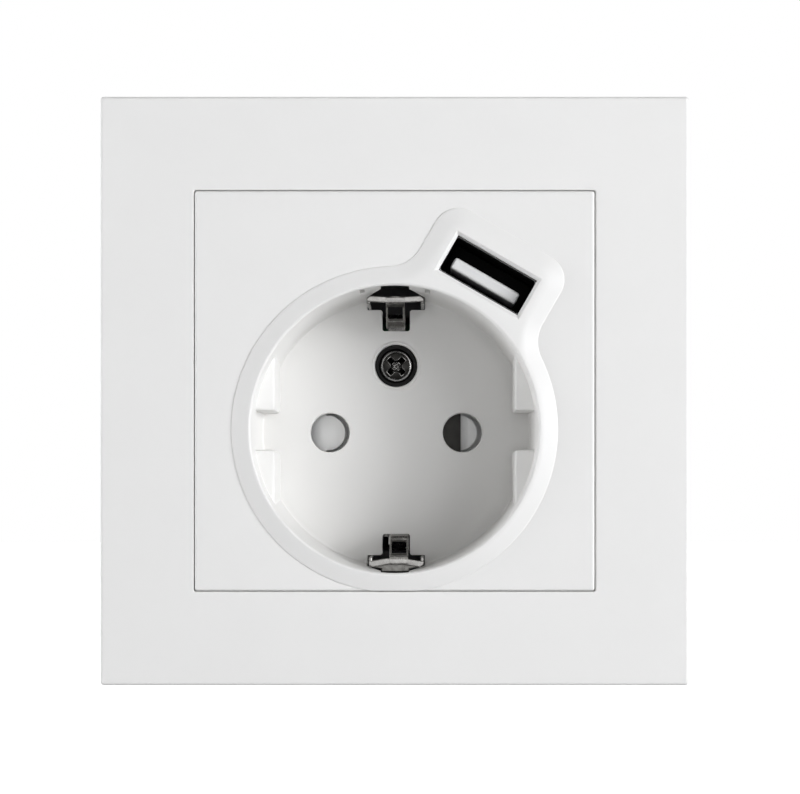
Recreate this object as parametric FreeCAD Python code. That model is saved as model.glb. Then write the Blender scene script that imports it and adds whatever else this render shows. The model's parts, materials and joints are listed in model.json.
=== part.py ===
import FreeCAD, Part
import math
import os

# A flush wall socket with a round earthed recess and one slanted USB port.
# Millimetres. X is to the right, Y goes into the wall and Z is up.
# The origin is on the wall face, in the middle of the frame. The front faces -Y.

V = FreeCAD.Vector

# Cover frame
FRAME_BAND = 13.0
FRAME_HEIGHT = 10.0
FRAME_WALL = 2.0
FRAME_SKIN = 2.2
FRAME_EDGE = 0.45
LEDGE_REACH = 0.8
LEDGE_THICK = 1.5
OPENING_RIM = 2.0
FRAME_RIB = 1.6
FRAME_RIB_LENGTH = 6.0
FRAME_RIB_OFFSET = 18.0

# Centre plate
PLATE_TRIM = 0.2
PLATE_GAP = 0.18
PLATE_PROUD = 0.2
PLATE_SKIN = 2.0
PLATE_EDGE = 0.35

# Raised collar round the recess
COLLAR_RISE = 1.0
COLLAR_STEP = 0.15
COLLAR_SLOPE = 2.3
RIM_ROUND = 0.5

# Recess for the plug
RECESS_D = 39.5
RECESS_DEPTH = 17.5
RECESS_DRAFT = 0.5
RECESS_DROP = 5.3
RECESS_FOOT = 0.6
POT_WALL = 1.5
FLOOR_THICK = 2.0

# Plug pins
PIN_SPACING = 19.0
PIN_D = 4.8
PIN_LENGTH = 19.0
PIN_HOLE_D = 5.6

# Guide ribs at the left and right of the recess
RIB_IN = 3.1
RIB_SETBACK = 5.0
RIB_NOTCH = 5.4
RIB_ROUND = 0.35

# T-shaped cut-outs that let the earth clips into the recess
SLOT_WIDE = 8.2
SLOT_STEM = 3.95
SLOT_STEM_IN = 5.2
SLOT_WIDE_IN = 2.15
SLOT_LIP = 0.8
SLOT_NECK = 3.4
SLOT_FLARE = 8.0

# Earth strap with its two spring arms
STRAP_T = 0.7
STRAP_WIDE = 6.0
ARM_WIDE = 2.6
ARM_ROOT_IN = 3.25
ARM_BULGE_IN = 5.2
ARM_BULGE_UP = 5.7
ARM_TIP_IN = 1.75
ARM_TIP_UP = 10.3
ARM_STRAIGHT = 1.0
ARM_BEND = 1.1
WINDOW_WIDE = 1.9
WINDOW_INNER_IN = 3.9
WINDOW_OUTER_IN = 2.6
WING_SPAN = 7.9
WING_IN = 1.85
WING_RADIAL = 0.6
WING_DEPTH = 1.1
WING_SWEEP = 0.45

# Screw that holds the centre plate
SCREW_UP = 9.6
SCREW_HEAD_D = 4.7
SCREW_HEAD_H = 1.7
SCREW_HEAD_ROUND = 0.5
SCREW_SHANK_D = 3.0
SCREW_SINK = 1.0
SCREW_REACH = 7.5
WELL_D = 6.1
WELL_WALL = 1.2
WELL_SEAT = 1.4
SLEEVE_WALL = 0.5
SLEEVE_SINK = 0.5
SLEEVE_SEAT = 0.4
CROSS_LONG = 3.1
CROSS_WIDE = 0.85
CROSS_DEEP = 1.2

# USB port: place is measured from the recess centre along an axis tilted from upright
USB_TILT = 30.0
USB_BEYOND = 4.98
USB_SIDE = 0.5
USB_OPEN_SIDE = 0.6
USB_OPEN_H = 5.5
USB_CHAMFER = 0.45
USB_LIP = 1.2
BOSS_HALF = 9.85
BOSS_BEYOND = 6.47
BOSS_CORNER = 3.5
BOSS_FILLET = 5.0
SHELL_W = 13.1
SHELL_H = 5.72
SHELL_WALL = 0.3
SHELL_LENGTH = 14.0
SHELL_CORNER = 0.7
SHELL_TAB = 2.0
TONGUE_SIDE = 2.0
TONGUE_T = 1.84
TONGUE_SHIFT = 0.98
TONGUE_RECESS = 1.3
TONGUE_BLOCK = 3.0
USB_PIN_W = 1.0
USB_PIN_T = 0.2
USB_PIN_PLACES = (-3.5, -1.0, 1.0, 3.5)

# Support ring
RING_BEYOND = 5.5
RING_T = 1.0
RING_CORNER = 7.0
RING_CLEAR = 0.3
BOX_SCREW_GAP = 2.0
BOX_HOLE_D = 3.8
LEG_HALF = 6.0
LEG_MARGIN = 3.0
RING_SCREW_BEHIND = 3.2
RING_SCREW_D = 2.4
RING_SCREW_HEAD_D = 4.6
RING_SCREW_HEAD_H = 0.8
RING_SCREW_LENGTH = 4.6
RING_SCREW_SLOT = 0.42

# Base block behind the recess
BASE_TRIM = 1.8
BASE_BEHIND = 1.2
BASE_SKIN = 2.0
BASE_WALL = 1.8
RIM_WALL = 1.1
RIM_GAP = 0.35
FIT = 0.2
SCREW_FIT = 0.05
JOIN = 0.1

# Shutter that closes both pin holes
SHUTTER_T = 3.0
SHUTTER_HALF = 3.7
SHUTTER_TRAVEL = 6.0
SHUTTER_RIDGE = 0.9
SHUTTER_FOOT = 3.2
SHUTTER_BOW = 0.3
SHUTTER_WINDOW = 5.9
SHUTTER_WINDOW_HALF = 2.95
SHUTTER_END = 1.4
SHUTTER_FLOOR = 0.2
TAB_LENGTH = 1.4
TAB_DROP = 2.7
SPRING_D = 2.0
SPRING_WIRE = 0.3
SPRING_TURNS = 9
SPRING_LENGTH = 15.4

# Pin contacts, terminals and wire clamps
CONTACT_GAP = 0.55
CONTACT_T = 0.8
LEAF_T = 0.6
LEAF_FIT = 0.05
LEAF_UP = 3.0
CONTACT_DROP = 3.4
TERMINAL_IN = 5.25
TERMINAL_UP = 8.4
TERMINAL_HALF = 2.2
TERMINAL_SHORT = 0.3
WIRE_HOLE_D = 3.0
POCKET_FIT = 0.7
CLAMP_T = 0.4
CLAMP_HALF = 2.0
CLAMP_BEND = 0.9
CLAMP_RISE = 7.6
CLAMP_SHORT = 0.4
CLAMP_FRONT = 3.4
CLAMP_TOP_LEG = 7.1
SOLDER_TAB = 1.5

# Release buttons
BUTTON_W = 2.6
BUTTON_H = 2.4
BUTTON_UP = 3.5
BUTTON_TRAVEL = 1.0
BUTTON_COLLAR = 1.0
BUTTON_COLLAR_GROW = 0.6
BUTTON_GAP = 0.3

# Rear housing
HOUSING_PLATE = 2.0
HOUSING_WALL = 1.6
TOWER_DEPTH = 11.5
TOWER_FLOOR_Z = -11.2
HOUSING_SCREW_IN = 4.7
HOUSING_SCREW_Z = -13.5
HOUSING_SCREW_D = 2.4
HOUSING_SCREW_HEAD_D = 4.4
HOUSING_SCREW_HEAD_H = 1.6
HOUSING_SCREW_LENGTH = 10.0
HOUSING_SCREW_ROUND = 0.5
HOUSING_CROSS_LONG = 2.2
HOUSING_CROSS_WIDE = 0.57

# Charger electronics
BOARD_T = 1.2
BOARD_FIT = 0.3
BOARD_LIFT = 1.5
POST_R = 1.9
POST_IN = 5.7
POST_Z = 5.5
TOP_POST_IN = 6.5
PRESS_POST_R = 1.2
PRESS_IN = 3.4
PRESS_LEFT_Z = 2.5
PRESS_RIGHT_Z = -4.5
PRESS_TOP_IN = 3.7
PORT_BOARD_T = 1.0
PORT_BOARD_W = 15.0
PORT_BOARD_BEHIND = 4.2
PORT_TAB_W = 8.0
PORT_TAB_OUT = 1.0
SLOT_FIT = 0.12
CORE_X = -9.0
CORE_Z = 12.0
CORE_W = 13.0
CORE_D = 6.0
CORE_H = 8.2
CORE_LEG = 3.2
CORE_SIDE = 2.0
CORE_YOKE = 1.5
COIL_OVER = 1.8
CAP_R = 3.15
CAP_H = 8.2
CAP_EDGE = 0.35
GROOVE_R = 0.5
GROOVE_OUT = 0.25
GROOVE_UP = 1.5
CAP_PLACES = ((6.0, 13.0), (13.5, 9.0))
OUT_CAP_R = 2.5
OUT_CAP_H = 7.0
OUT_CAP_IN = 6.2
OUT_CAP_Z = 1.5
CHOKE_R = 3.0
CHOKE_H = 5.0
CHOKE_FLANGE = 1.0
CHOKE_WAIST_R = 2.55
CHOKE_PLACE = (11.0, -2.0)
FUSE_R = 1.4
FUSE_LENGTH = 7.5
FUSE_EDGE = 0.45
LEAD_HALF = 0.3
LEAD_OUT = 0.9
FUSE_PLACE = (-15.0, -3.0)
CHIPS = ((-5.0, -4.0, 4.8, 4.0, 2.0), (3.0, -4.5, 5.0, 4.0, 1.6), (1.0, 4.0, 3.0, 3.0, 1.2))
PORT_CHIPS = ((-4.0, 7.0, 3.0, 3.0, 1.0), (3.5, 7.5, 2.0, 1.3, 0.9))

# Depths that follow from the sizes above, measured along Y
FRAME_FRONT = -FRAME_HEIGHT
PLATE_FRONT = FRAME_FRONT - PLATE_PROUD
COLLAR_FRONT = PLATE_FRONT - COLLAR_RISE
LEDGE_FRONT = PLATE_FRONT + FRAME_SKIN
LEDGE_BACK = LEDGE_FRONT + LEDGE_THICK
FLOOR_FRONT = COLLAR_FRONT + RECESS_DEPTH
FLOOR_BACK = FLOOR_FRONT + FLOOR_THICK
CONTACT_BACK = FLOOR_FRONT + PIN_LENGTH
BASE_BACK = CONTACT_BACK + BASE_BEHIND
HOUSING_BACK = BASE_BACK + HOUSING_PLATE
TOWER_BACK = HOUSING_BACK + TOWER_DEPTH
SHUTTER_FRONT = FLOOR_BACK + SHUTTER_FLOOR
SHUTTER_BACK = SHUTTER_FRONT + SHUTTER_T
SHUTTER_POCKET = SHUTTER_BACK + BOARD_FIT
STRAP_MID = SHUTTER_POCKET + BASE_SKIN + STRAP_T / 2 - SCREW_FIT
STRAP_FRONT = STRAP_MID - STRAP_T / 2
STRAP_BACK = STRAP_MID + STRAP_T / 2
CONTACT_Y = STRAP_BACK + CONTACT_GAP
TERMINAL_BACK = CONTACT_BACK - TERMINAL_SHORT
ARM_BULGE_Y = FLOOR_FRONT - ARM_BULGE_UP
ARM_TIP_Y = FLOOR_FRONT - ARM_TIP_UP
RING_SCREW_Y = FLOOR_BACK + RING_SCREW_BEHIND
BOARD_FRONT = BASE_BACK + BOARD_LIFT
BOARD_BACK = BOARD_FRONT + BOARD_T
HEAD_FRONT = FLOOR_FRONT + SCREW_SINK
HEAD_BACK = HEAD_FRONT + SCREW_HEAD_H
SLEEVE_BACK = HEAD_BACK + SLEEVE_SEAT
WELL_BACK = SLEEVE_BACK + WELL_SEAT
SHELL_FRONT = COLLAR_FRONT + USB_LIP + FIT / 2
SHELL_BACK = SHELL_FRONT + SHELL_LENGTH
PORT_BOARD_FRONT = COLLAR_FRONT + PORT_BOARD_BEHIND

# Radii and places that follow, seen from the front
PIT_Z = -RECESS_DROP
RIM_R = RECESS_D / 2
FOOT_R = RIM_R - RECESS_DRAFT
POT_R = RIM_R + POT_WALL
COLLAR_R = RIM_R + RIM_ROUND + COLLAR_SLOPE - COLLAR_STEP
PLATE_SIDE = 2 * (RECESS_DROP + COLLAR_R - PLATE_TRIM)
FRAME_SIDE = PLATE_SIDE + 2 * FRAME_BAND
BASE_R = POT_R + RECESS_DROP + RIM_GAP + RIM_WALL
BASE_FLAT = BASE_R - BASE_TRIM
BOX_SCREW_PITCH = 2 * (BASE_R + BOX_SCREW_GAP)
RING_SIDE = BOX_SCREW_PITCH + 2 * RING_BEYOND
RIB_CHORD = RIM_R - RIB_IN
SLOT_STEM_R = RIM_R - SLOT_STEM_IN
SLOT_WIDE_R = RIM_R - SLOT_WIDE_IN
ARM_ROOT_R = RIM_R - ARM_ROOT_IN
ARM_BULGE_R = RIM_R - ARM_BULGE_IN
ARM_TIP_R = RIM_R - ARM_TIP_IN
WINDOW_INNER_R = RIM_R - WINDOW_INNER_IN
WINDOW_OUTER_R = RIM_R - WINDOW_OUTER_IN
WING_R = RIM_R - WING_IN
USB_OUT = RIM_R + USB_BEYOND
USB_OPEN_W = SHELL_W - USB_OPEN_SIDE
TONGUE_W = SHELL_W - TONGUE_SIDE
BOSS_OUTER = USB_OUT + BOSS_BEYOND
TERMINAL_X = RIM_R - TERMINAL_IN
TERMINAL_Z = TERMINAL_UP - BASE_R
HOUSING_SCREW_X = BASE_FLAT - HOUSING_SCREW_IN
BOARD_POSTS = ((POST_IN - BASE_FLAT, POST_Z), (BASE_FLAT - POST_IN, POST_Z), (0, BASE_R - TOP_POST_IN))
PRESS_POSTS = ((PRESS_IN - BASE_FLAT, PRESS_LEFT_Z), (BASE_FLAT - PRESS_IN, PRESS_RIGHT_Z),
               (0, BASE_R - PRESS_TOP_IN))
OUT_CAP_X = BASE_FLAT - OUT_CAP_IN
PIN_X = PIN_SPACING / 2
PIN_HOLE_R = PIN_HOLE_D / 2
SCREW_Z = PIT_Z + SCREW_UP
WELL_BOSS_R = WELL_D / 2 + WELL_WALL
CONTACT_Z = PIT_Z - CONTACT_DROP
WIRE_Z = TERMINAL_Z + WIRE_HOLE_D / 2
CLAMP_TOP_Z = TERMINAL_Z + CLAMP_RISE
BUTTON_Z = WIRE_Z + BUTTON_UP
PORT_BOARD_V = USB_OUT + SHELL_H / 2
PORT_BOARD_OUTER = PORT_BOARD_V + PORT_BOARD_T
TONGUE_V = USB_OUT - TONGUE_SHIFT
USB_PIN_V = TONGUE_V + TONGUE_T / 2
INNER_R = BASE_R - HOUSING_WALL
INNER_FLAT = BASE_FLAT - HOUSING_WALL
BOARD_R = INNER_R - BOARD_FIT
RING_OPEN_R = POT_R + RECESS_DROP + RING_CLEAR


# General shapes

def box(x0, x1, y0, y1, z0, z1):
    return Part.makeBox(x1 - x0, y1 - y0, z1 - z0, V(x0, y0, z0))


def rod(x, z, radius, y0, y1):
    return Part.makeCylinder(radius, y1 - y0, V(x, y0, z), V(0, 1, 0))


def sheet(points, y0, y1):
    """A flat plate with its outline in X and Z."""
    corners = [V(x, y0, z) for x, z in points]
    return Part.Face(Part.makePolygon(corners + corners[:1])).extrude(V(0, y1 - y0, 0))


def beam(points, x0, x1):
    """A bar along X with its section in Z and Y."""
    corners = [V(x0, y, z) for z, y in points]
    return Part.Face(Part.makePolygon(corners + corners[:1])).extrude(V(x1 - x0, 0, 0))


def join(shapes):
    first = shapes[0]
    return first.fuse(list(shapes[1:])).removeSplitter()


def mirrored(shape):
    return shape.mirror(V(0, 0, 0), V(1, 0, 0))


def vertical_edges(shape, x, z, reach=0.01):
    """Edges along Y that stand at the given distances from the origin."""
    found = []
    for edge in shape.Edges:
        spot = edge.CenterOfMass
        start, end = edge.Vertexes[0].Point, edge.Vertexes[-1].Point
        straight = abs(start.x - end.x) < reach and abs(start.z - end.z) < reach
        if straight and abs(abs(spot.x) - x) < reach and abs(abs(spot.z) - z) < reach:
            found.append(edge)
    return found


def edges_at_depth(shape, y, reach=0.001):
    """Edges that lie in one plane across Y."""
    return [e for e in shape.Edges if e.BoundBox.YMin > y - reach and e.BoundBox.YMax < y + reach]


def bent_section(path, thickness, bend, x):
    """Face of a bent strip in Z and Y: a centre line with every corner bent to one radius."""
    points = [V(x, y, z) for z, y in path]
    steps = [(b - a).normalize() for a, b in zip(points, points[1:])]
    across = V(1, 0, 0)
    sides = []
    for sign in (1, -1):
        shift = sign * thickness / 2
        edges = []
        here = points[0] + across.cross(steps[0]) * shift
        for corner, before, after in zip(points[1:], steps, steps[1:]):
            turn = before.getAngle(after)
            reach = bend * math.tan(turn / 2)
            inward = (after - before).normalize()
            centre = corner + inward * (bend / math.cos(turn / 2))
            left = across.cross(before)
            side = 1 if left.dot(inward) > 0 else -1
            radius = bend - side * shift
            start = corner - before * reach + left * shift
            end = corner + after * reach + across.cross(after) * shift
            edges.append(Part.makeLine(here, start))
            edges.append(Part.Arc(start, centre - inward * radius, end).toShape())
            here = end
        last = points[-1] + across.cross(steps[-1]) * shift
        edges.append(Part.makeLine(here, last))
        sides.append((edges, points[0] + across.cross(steps[0]) * shift, last))
    (upper, upper_start, upper_end), (lower, lower_start, lower_end) = sides
    caps = [Part.makeLine(upper_end, lower_end), Part.makeLine(lower_start, upper_start)]
    return Part.Face(Part.Wire(Part.__sortEdges__(upper + lower + caps)))


def bent_strip(path, thickness, bend, half):
    return bent_section(path, thickness, bend, -half).extrude(V(2 * half, 0, 0))


# The USB port is drawn upright over the recess centre, then tilted into place

def tilted(shape):
    placed = shape.copy()
    placed.rotate(V(0, 0, 0), V(0, 1, 0), USB_TILT)
    placed.translate(V(0, 0, PIT_Z))
    return placed


def usb_box(half_u, y0, y1, v0, v1, u=USB_SIDE):
    return box(u - half_u, u + half_u, y0, y1, v0, v1)


def collar_outline(inset, y):
    """Outline of the collar and the USB boss together, moved in by inset, drawn upright."""
    ring = COLLAR_R - inset
    half = BOSS_HALF - inset
    top = BOSS_OUTER - inset
    corner = BOSS_CORNER - inset * BOSS_CORNER / (BOSS_CORNER + COLLAR_SLOPE)
    fillet = BOSS_FILLET + inset
    wires = []
    tangents = []
    for side in (1, -1):
        edge_x = USB_SIDE + side * half
        centre_x = edge_x + side * fillet
        centre_z = math.sqrt((ring + fillet) ** 2 - centre_x ** 2)
        centre = V(centre_x, y, centre_z)
        on_line = V(edge_x, y, centre_z)
        on_ring = V(centre_x, y, centre_z) * (ring / (ring + fillet))
        on_ring.y = y
        toward = V((on_line.x + on_ring.x) / 2 - centre_x, 0, (on_line.z + on_ring.z) / 2 - centre_z)
        middle = centre + toward.normalize() * fillet
        corner_low = V(edge_x, y, top - corner)
        corner_top = V(edge_x - side * corner, y, top)
        swing = corner * (1 - math.sqrt(0.5))
        corner_mid = V(edge_x - side * swing, y, top - swing)
        wires.append(Part.Arc(on_ring, middle, on_line).toShape())
        wires.append(Part.makeLine(on_line, corner_low))
        wires.append(Part.Arc(corner_low, corner_mid, corner_top).toShape())
        tangents.append((on_ring, corner_top))
    wires.append(Part.makeLine(tangents[0][1], tangents[1][1]))
    wires.append(Part.Arc(tangents[0][0], V(0, y, -ring), tangents[1][0]).toShape())
    return Part.Wire(Part.__sortEdges__(wires))


# Cover frame and centre plate

def cover_frame():
    half = FRAME_SIDE / 2
    body = box(-half, half, FRAME_FRONT, 0, -half, half)
    body = body.makeFillet(FRAME_EDGE, vertical_edges(body, half, half))
    body = body.makeFillet(FRAME_EDGE, edges_at_depth(body, FRAME_FRONT))
    inner = half - FRAME_WALL
    body = body.cut(box(-inner, inner, FRAME_FRONT + FRAME_SKIN, 1, -inner, inner))
    opening = PLATE_SIDE / 2 + PLATE_GAP
    rim = opening + OPENING_RIM
    ledge = PLATE_SIDE / 2 - LEDGE_REACH
    ribs = []
    for side in (1, -1):
        for end in (1, -1):
            near = RING_SIDE / 2 - FRAME_RIB - OPENING_RIM
            along = FRAME_RIB_OFFSET * end
            across = near * side
            low, high = along - FRAME_RIB_LENGTH / 2, along + FRAME_RIB_LENGTH / 2
            left, right = across - FRAME_RIB / 2, across + FRAME_RIB / 2
            ribs.append(box(left, right, FRAME_FRONT + FRAME_SKIN, -RING_T, low, high))
            ribs.append(box(low, high, FRAME_FRONT + FRAME_SKIN, -RING_T, left, right))
    body = join([body, box(-rim, rim, FRAME_FRONT + PLATE_EDGE, LEDGE_BACK, -rim, rim)] + ribs)
    body = body.cut(box(-opening, opening, FRAME_FRONT - 1, LEDGE_FRONT, -opening, opening))
    body = body.cut(box(-ledge, ledge, FRAME_FRONT - 1, 1, -ledge, ledge))
    pot_way = rod(0, PIT_Z, POT_R + PLATE_GAP, LEDGE_FRONT, 1)
    return body.cut(pot_way)


def recess_space():
    """The space inside the recess, with its rounded rim and the fillet at its floor."""
    start = V(0, COLLAR_FRONT - 1, 0)
    flare = V(RIM_R + RIM_ROUND, COLLAR_FRONT - 1, 0)
    lip = V(RIM_R + RIM_ROUND, COLLAR_FRONT, 0)
    lip_swing = RIM_ROUND * (1 - math.sqrt(0.5))
    lip_mid = V(RIM_R + lip_swing, COLLAR_FRONT + lip_swing, 0)
    wall_top = V(RIM_R, COLLAR_FRONT + RIM_ROUND, 0)
    wall_foot = V(FOOT_R, FLOOR_FRONT - RECESS_FOOT, 0)
    foot_swing = RECESS_FOOT * (1 - math.sqrt(0.5))
    foot_mid = V(FOOT_R - foot_swing, FLOOR_FRONT - foot_swing, 0)
    floor_edge = V(FOOT_R - RECESS_FOOT, FLOOR_FRONT, 0)
    middle = V(0, FLOOR_FRONT, 0)
    edges = [
        Part.makeLine(start, flare),
        Part.makeLine(flare, lip),
        Part.Arc(lip, lip_mid, wall_top).toShape(),
        Part.makeLine(wall_top, wall_foot),
        Part.Arc(wall_foot, foot_mid, floor_edge).toShape(),
        Part.makeLine(floor_edge, middle),
        Part.makeLine(middle, start),
    ]
    space = Part.Face(Part.Wire(edges)).revolve(V(0, 0, 0), V(0, 1, 0), 360)
    space.translate(V(0, 0, PIT_Z))
    return space


def guide_ribs():
    """Two stepped ribs on each side of the recess, with a notch between them."""
    near = RIB_CHORD
    far = RIM_R + POT_WALL / 2
    reach = math.sqrt(RIM_R ** 2 - RIB_CHORD ** 2) + POT_WALL
    front = COLLAR_FRONT + RIB_SETBACK
    ribs = []
    for side in (1, -1):
        for end in (1, -1):
            low, high = sorted((end * RIB_NOTCH / 2, end * reach))
            left, right = sorted((side * near, side * far))
            rib = box(left, right, front, FLOOR_BACK, PIT_Z + low, PIT_Z + high)
            rounded = [
                e for e in edges_at_depth(rib, front)
                if abs(abs(e.CenterOfMass.x) - near) < 0.01
                or abs(abs(e.CenterOfMass.z - PIT_Z) - RIB_NOTCH / 2) < 0.01
            ]
            ribs.append(rib.makeFillet(RIB_ROUND, rounded))
    within = rod(0, PIT_Z, RIM_R + POT_WALL / 2, front - 1, FLOOR_BACK)
    return [rib.common(within) for rib in ribs]


def clip_slot(y0, y1):
    """Both T-shaped cut-outs between two depths, for the floor and for what lies behind it."""
    wide = SLOT_WIDE / 2
    stem = SLOT_STEM / 2
    outer = POT_R + FIT
    parts = []
    for end in (1, -1):
        for half, inner in ((stem, SLOT_STEM_R), (wide, SLOT_WIDE_R)):
            low, high = sorted((end * inner, end * outer))
            parts.append(box(-half, half, y0, y1, PIT_Z + low, PIT_Z + high))
    return join(parts)


def clip_wall_slot():
    """Cut-outs in the recess wall: wide at the floor, with a flare to a neck under the rim."""
    wide = SLOT_WIDE / 2
    neck = SLOT_STEM / 2
    top = COLLAR_FRONT + SLOT_LIP
    neck_end = top + SLOT_NECK
    flare_end = neck_end + SLOT_FLARE
    outline = [
        (-neck, top), (neck, top), (neck, neck_end), (wide, flare_end),
        (wide, FLOOR_BACK + 1), (-wide, FLOOR_BACK + 1), (-wide, flare_end), (-neck, neck_end),
    ]
    parts = []
    for end in (1, -1):
        low = PIT_Z + end * SLOT_WIDE_R
        corners = [V(x, y, low) for x, y in outline]
        face = Part.Face(Part.makePolygon(corners + corners[:1]))
        parts.append(face.extrude(V(0, 0, end * (POT_R - SLOT_WIDE_R - PLATE_GAP))))
        behind_skin = COLLAR_FRONT + PLATE_SKIN
        left, right = -neck, neck
        low, high = sorted((end * SLOT_WIDE_R, end * (POT_R + FIT)))
        parts.append(box(left, right, behind_skin, FLOOR_BACK, PIT_Z + low, PIT_Z + high))
        parts.append(box(-wide, wide, flare_end, FLOOR_BACK + 1, PIT_Z + low, PIT_Z + high))
    return join(parts)


def plate_moulding():
    """Plate, collar, USB boss and recess in one. It is cut across Y into three nodes below."""
    half = PLATE_SIDE / 2
    slab = box(-half, half, PLATE_FRONT, LEDGE_FRONT, -half, half)
    slab = slab.makeFillet(PLATE_EDGE, vertical_edges(slab, half, half))
    slab = slab.makeFillet(PLATE_EDGE, edges_at_depth(slab, PLATE_FRONT))
    step = PLATE_FRONT - COLLAR_STEP
    low_wire = collar_outline(0, step)
    high_wire = collar_outline(COLLAR_SLOPE, COLLAR_FRONT)
    collar = Part.makeLoft([low_wire, high_wire], True, True)
    foot = Part.Face(collar_outline(0, step)).extrude(V(0, LEDGE_FRONT - step, 0))
    collar = tilted(join([collar, foot]))
    in_plate = box(-half, half, COLLAR_FRONT - 1, LEDGE_FRONT, -half, half)
    collar = collar.common(in_plate)
    pot = rod(0, PIT_Z, POT_R, PLATE_FRONT + PLATE_SKIN / 2, FLOOR_BACK)
    body = join([slab, collar, pot])
    hollow = Part.Face(collar_outline(COLLAR_SLOPE, COLLAR_FRONT + PLATE_SKIN))
    hollow = tilted(hollow.extrude(V(0, FRAME_HEIGHT, 0)))
    body = body.cut(hollow.cut(rod(0, PIT_Z, POT_R, COLLAR_FRONT, FLOOR_BACK + 1)))
    body = body.cut(recess_space())
    body = join([body] + guide_ribs())
    body = join([body, rod(0, SCREW_Z, WELL_BOSS_R, FLOOR_FRONT + FLOOR_THICK / 2, WELL_BACK)])
    body = body.cut(rod(0, SCREW_Z, WELL_D / 2, FLOOR_FRONT - 1, SLEEVE_BACK))
    body = body.cut(rod(0, SCREW_Z, SCREW_SHANK_D / 2 + FIT, FLOOR_FRONT, WELL_BACK + 1))
    for side in (1, -1):
        body = body.cut(rod(side * PIN_X, PIT_Z, PIN_HOLE_R, FLOOR_FRONT - 1, FLOOR_BACK + 1))
    floor_cut = clip_slot(FLOOR_FRONT - 1, FLOOR_BACK + 1)
    body = body.cut(floor_cut)
    body = body.cut(clip_wall_slot())
    opening = usb_box(USB_OPEN_W / 2, COLLAR_FRONT - 1, FRAME_FRONT + FRAME_HEIGHT,
                      USB_OUT - USB_OPEN_H / 2, USB_OUT + USB_OPEN_H / 2)
    seat = usb_box(SHELL_W / 2 + FIT, COLLAR_FRONT + USB_LIP, 0,
                   USB_OUT - SHELL_H / 2 - FIT, USB_OUT + SHELL_H / 2 + FIT)
    board_way = usb_box(PORT_BOARD_W / 2 + FIT, PORT_BOARD_FRONT - FIT, 0,
                        PORT_BOARD_V - FIT, PORT_BOARD_OUTER + SHELL_TAB)
    funnel = usb_funnel()
    pot_keep = rod(0, PIT_Z, POT_R, COLLAR_FRONT, FLOOR_BACK + 1)
    seat = tilted(join([seat, board_way])).cut(pot_keep)
    return body.cut(tilted(opening)).cut(seat).cut(tilted(funnel))


def slice_of(shape, y0, y1):
    reach = PLATE_SIDE
    return shape.common(box(-reach, reach, y0, y1, -reach, reach))


def usb_funnel():
    """Small chamfer all round the USB opening."""
    wires = []
    for grow, y in ((USB_CHAMFER + JOIN, COLLAR_FRONT - JOIN), (0, COLLAR_FRONT + USB_CHAMFER)):
        half_u = USB_OPEN_W / 2 + grow
        half_v = USB_OPEN_H / 2 + grow
        corners = [
            V(USB_SIDE - half_u, y, USB_OUT - half_v), V(USB_SIDE + half_u, y, USB_OUT - half_v),
            V(USB_SIDE + half_u, y, USB_OUT + half_v), V(USB_SIDE - half_u, y, USB_OUT + half_v),
        ]
        wires.append(Part.makePolygon(corners + corners[:1]))
    return Part.makeLoft(wires, True, True)


def cover_screw():
    head = rod(0, SCREW_Z, SCREW_HEAD_D / 2, HEAD_FRONT, HEAD_BACK)
    head = head.makeFillet(SCREW_HEAD_ROUND, edges_at_depth(head, HEAD_FRONT))
    shank = rod(0, SCREW_Z, SCREW_SHANK_D / 2, HEAD_BACK - JOIN, HEAD_BACK + SCREW_REACH)
    screw = join([head, shank])
    for turn in (45, 135):
        arm = box(-CROSS_LONG / 2, CROSS_LONG / 2, HEAD_FRONT - 1, HEAD_FRONT + CROSS_DEEP,
                  -CROSS_WIDE / 2, CROSS_WIDE / 2)
        arm.rotate(V(0, 0, 0), V(0, 1, 0), turn)
        arm.translate(V(0, 0, SCREW_Z))
        screw = screw.cut(arm)
    return screw


def screw_sleeve():
    """Dark sleeve that lines the well and keeps the screw captive."""
    outer = WELL_D / 2 - SCREW_FIT
    sleeve = rod(0, SCREW_Z, outer, FLOOR_FRONT + SLEEVE_SINK, SLEEVE_BACK)
    sleeve = sleeve.cut(rod(0, SCREW_Z, outer - SLEEVE_WALL, FLOOR_FRONT, HEAD_BACK))
    return sleeve.cut(rod(0, SCREW_Z, SCREW_SHANK_D / 2 + SCREW_FIT, FLOOR_FRONT, SLEEVE_BACK + 1))


# Support ring and its screws

def support_ring():
    half = RING_SIDE / 2
    cut = half - RING_CORNER
    outline = [(-half, -cut), (-cut, -half), (cut, -half), (half, -cut),
               (half, cut), (cut, half), (-cut, half), (-half, cut)]
    ring = sheet(outline, -RING_T, 0)
    ring = ring.cut(rod(0, 0, RING_OPEN_R, -RING_T - 1, 1))
    legs = [box(BASE_FLAT, BASE_FLAT + RING_T, -RING_T, RING_SCREW_Y + LEG_MARGIN, -LEG_HALF, LEG_HALF)]
    legs.append(mirrored(legs[0]))
    ring = join([ring] + legs)
    pitch = BOX_SCREW_PITCH / 2
    for x, z in ((pitch, 0), (-pitch, 0), (0, pitch), (0, -pitch)):
        ring = ring.cut(rod(x, z, BOX_HOLE_D / 2, -RING_T - 1, 1))
    bore = Part.makeCylinder(RING_SCREW_D / 2 + SCREW_FIT, 4 * BASE_FLAT,
                             V(-2 * BASE_FLAT, RING_SCREW_Y, 0), V(1, 0, 0))
    return ring.cut(bore)


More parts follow.
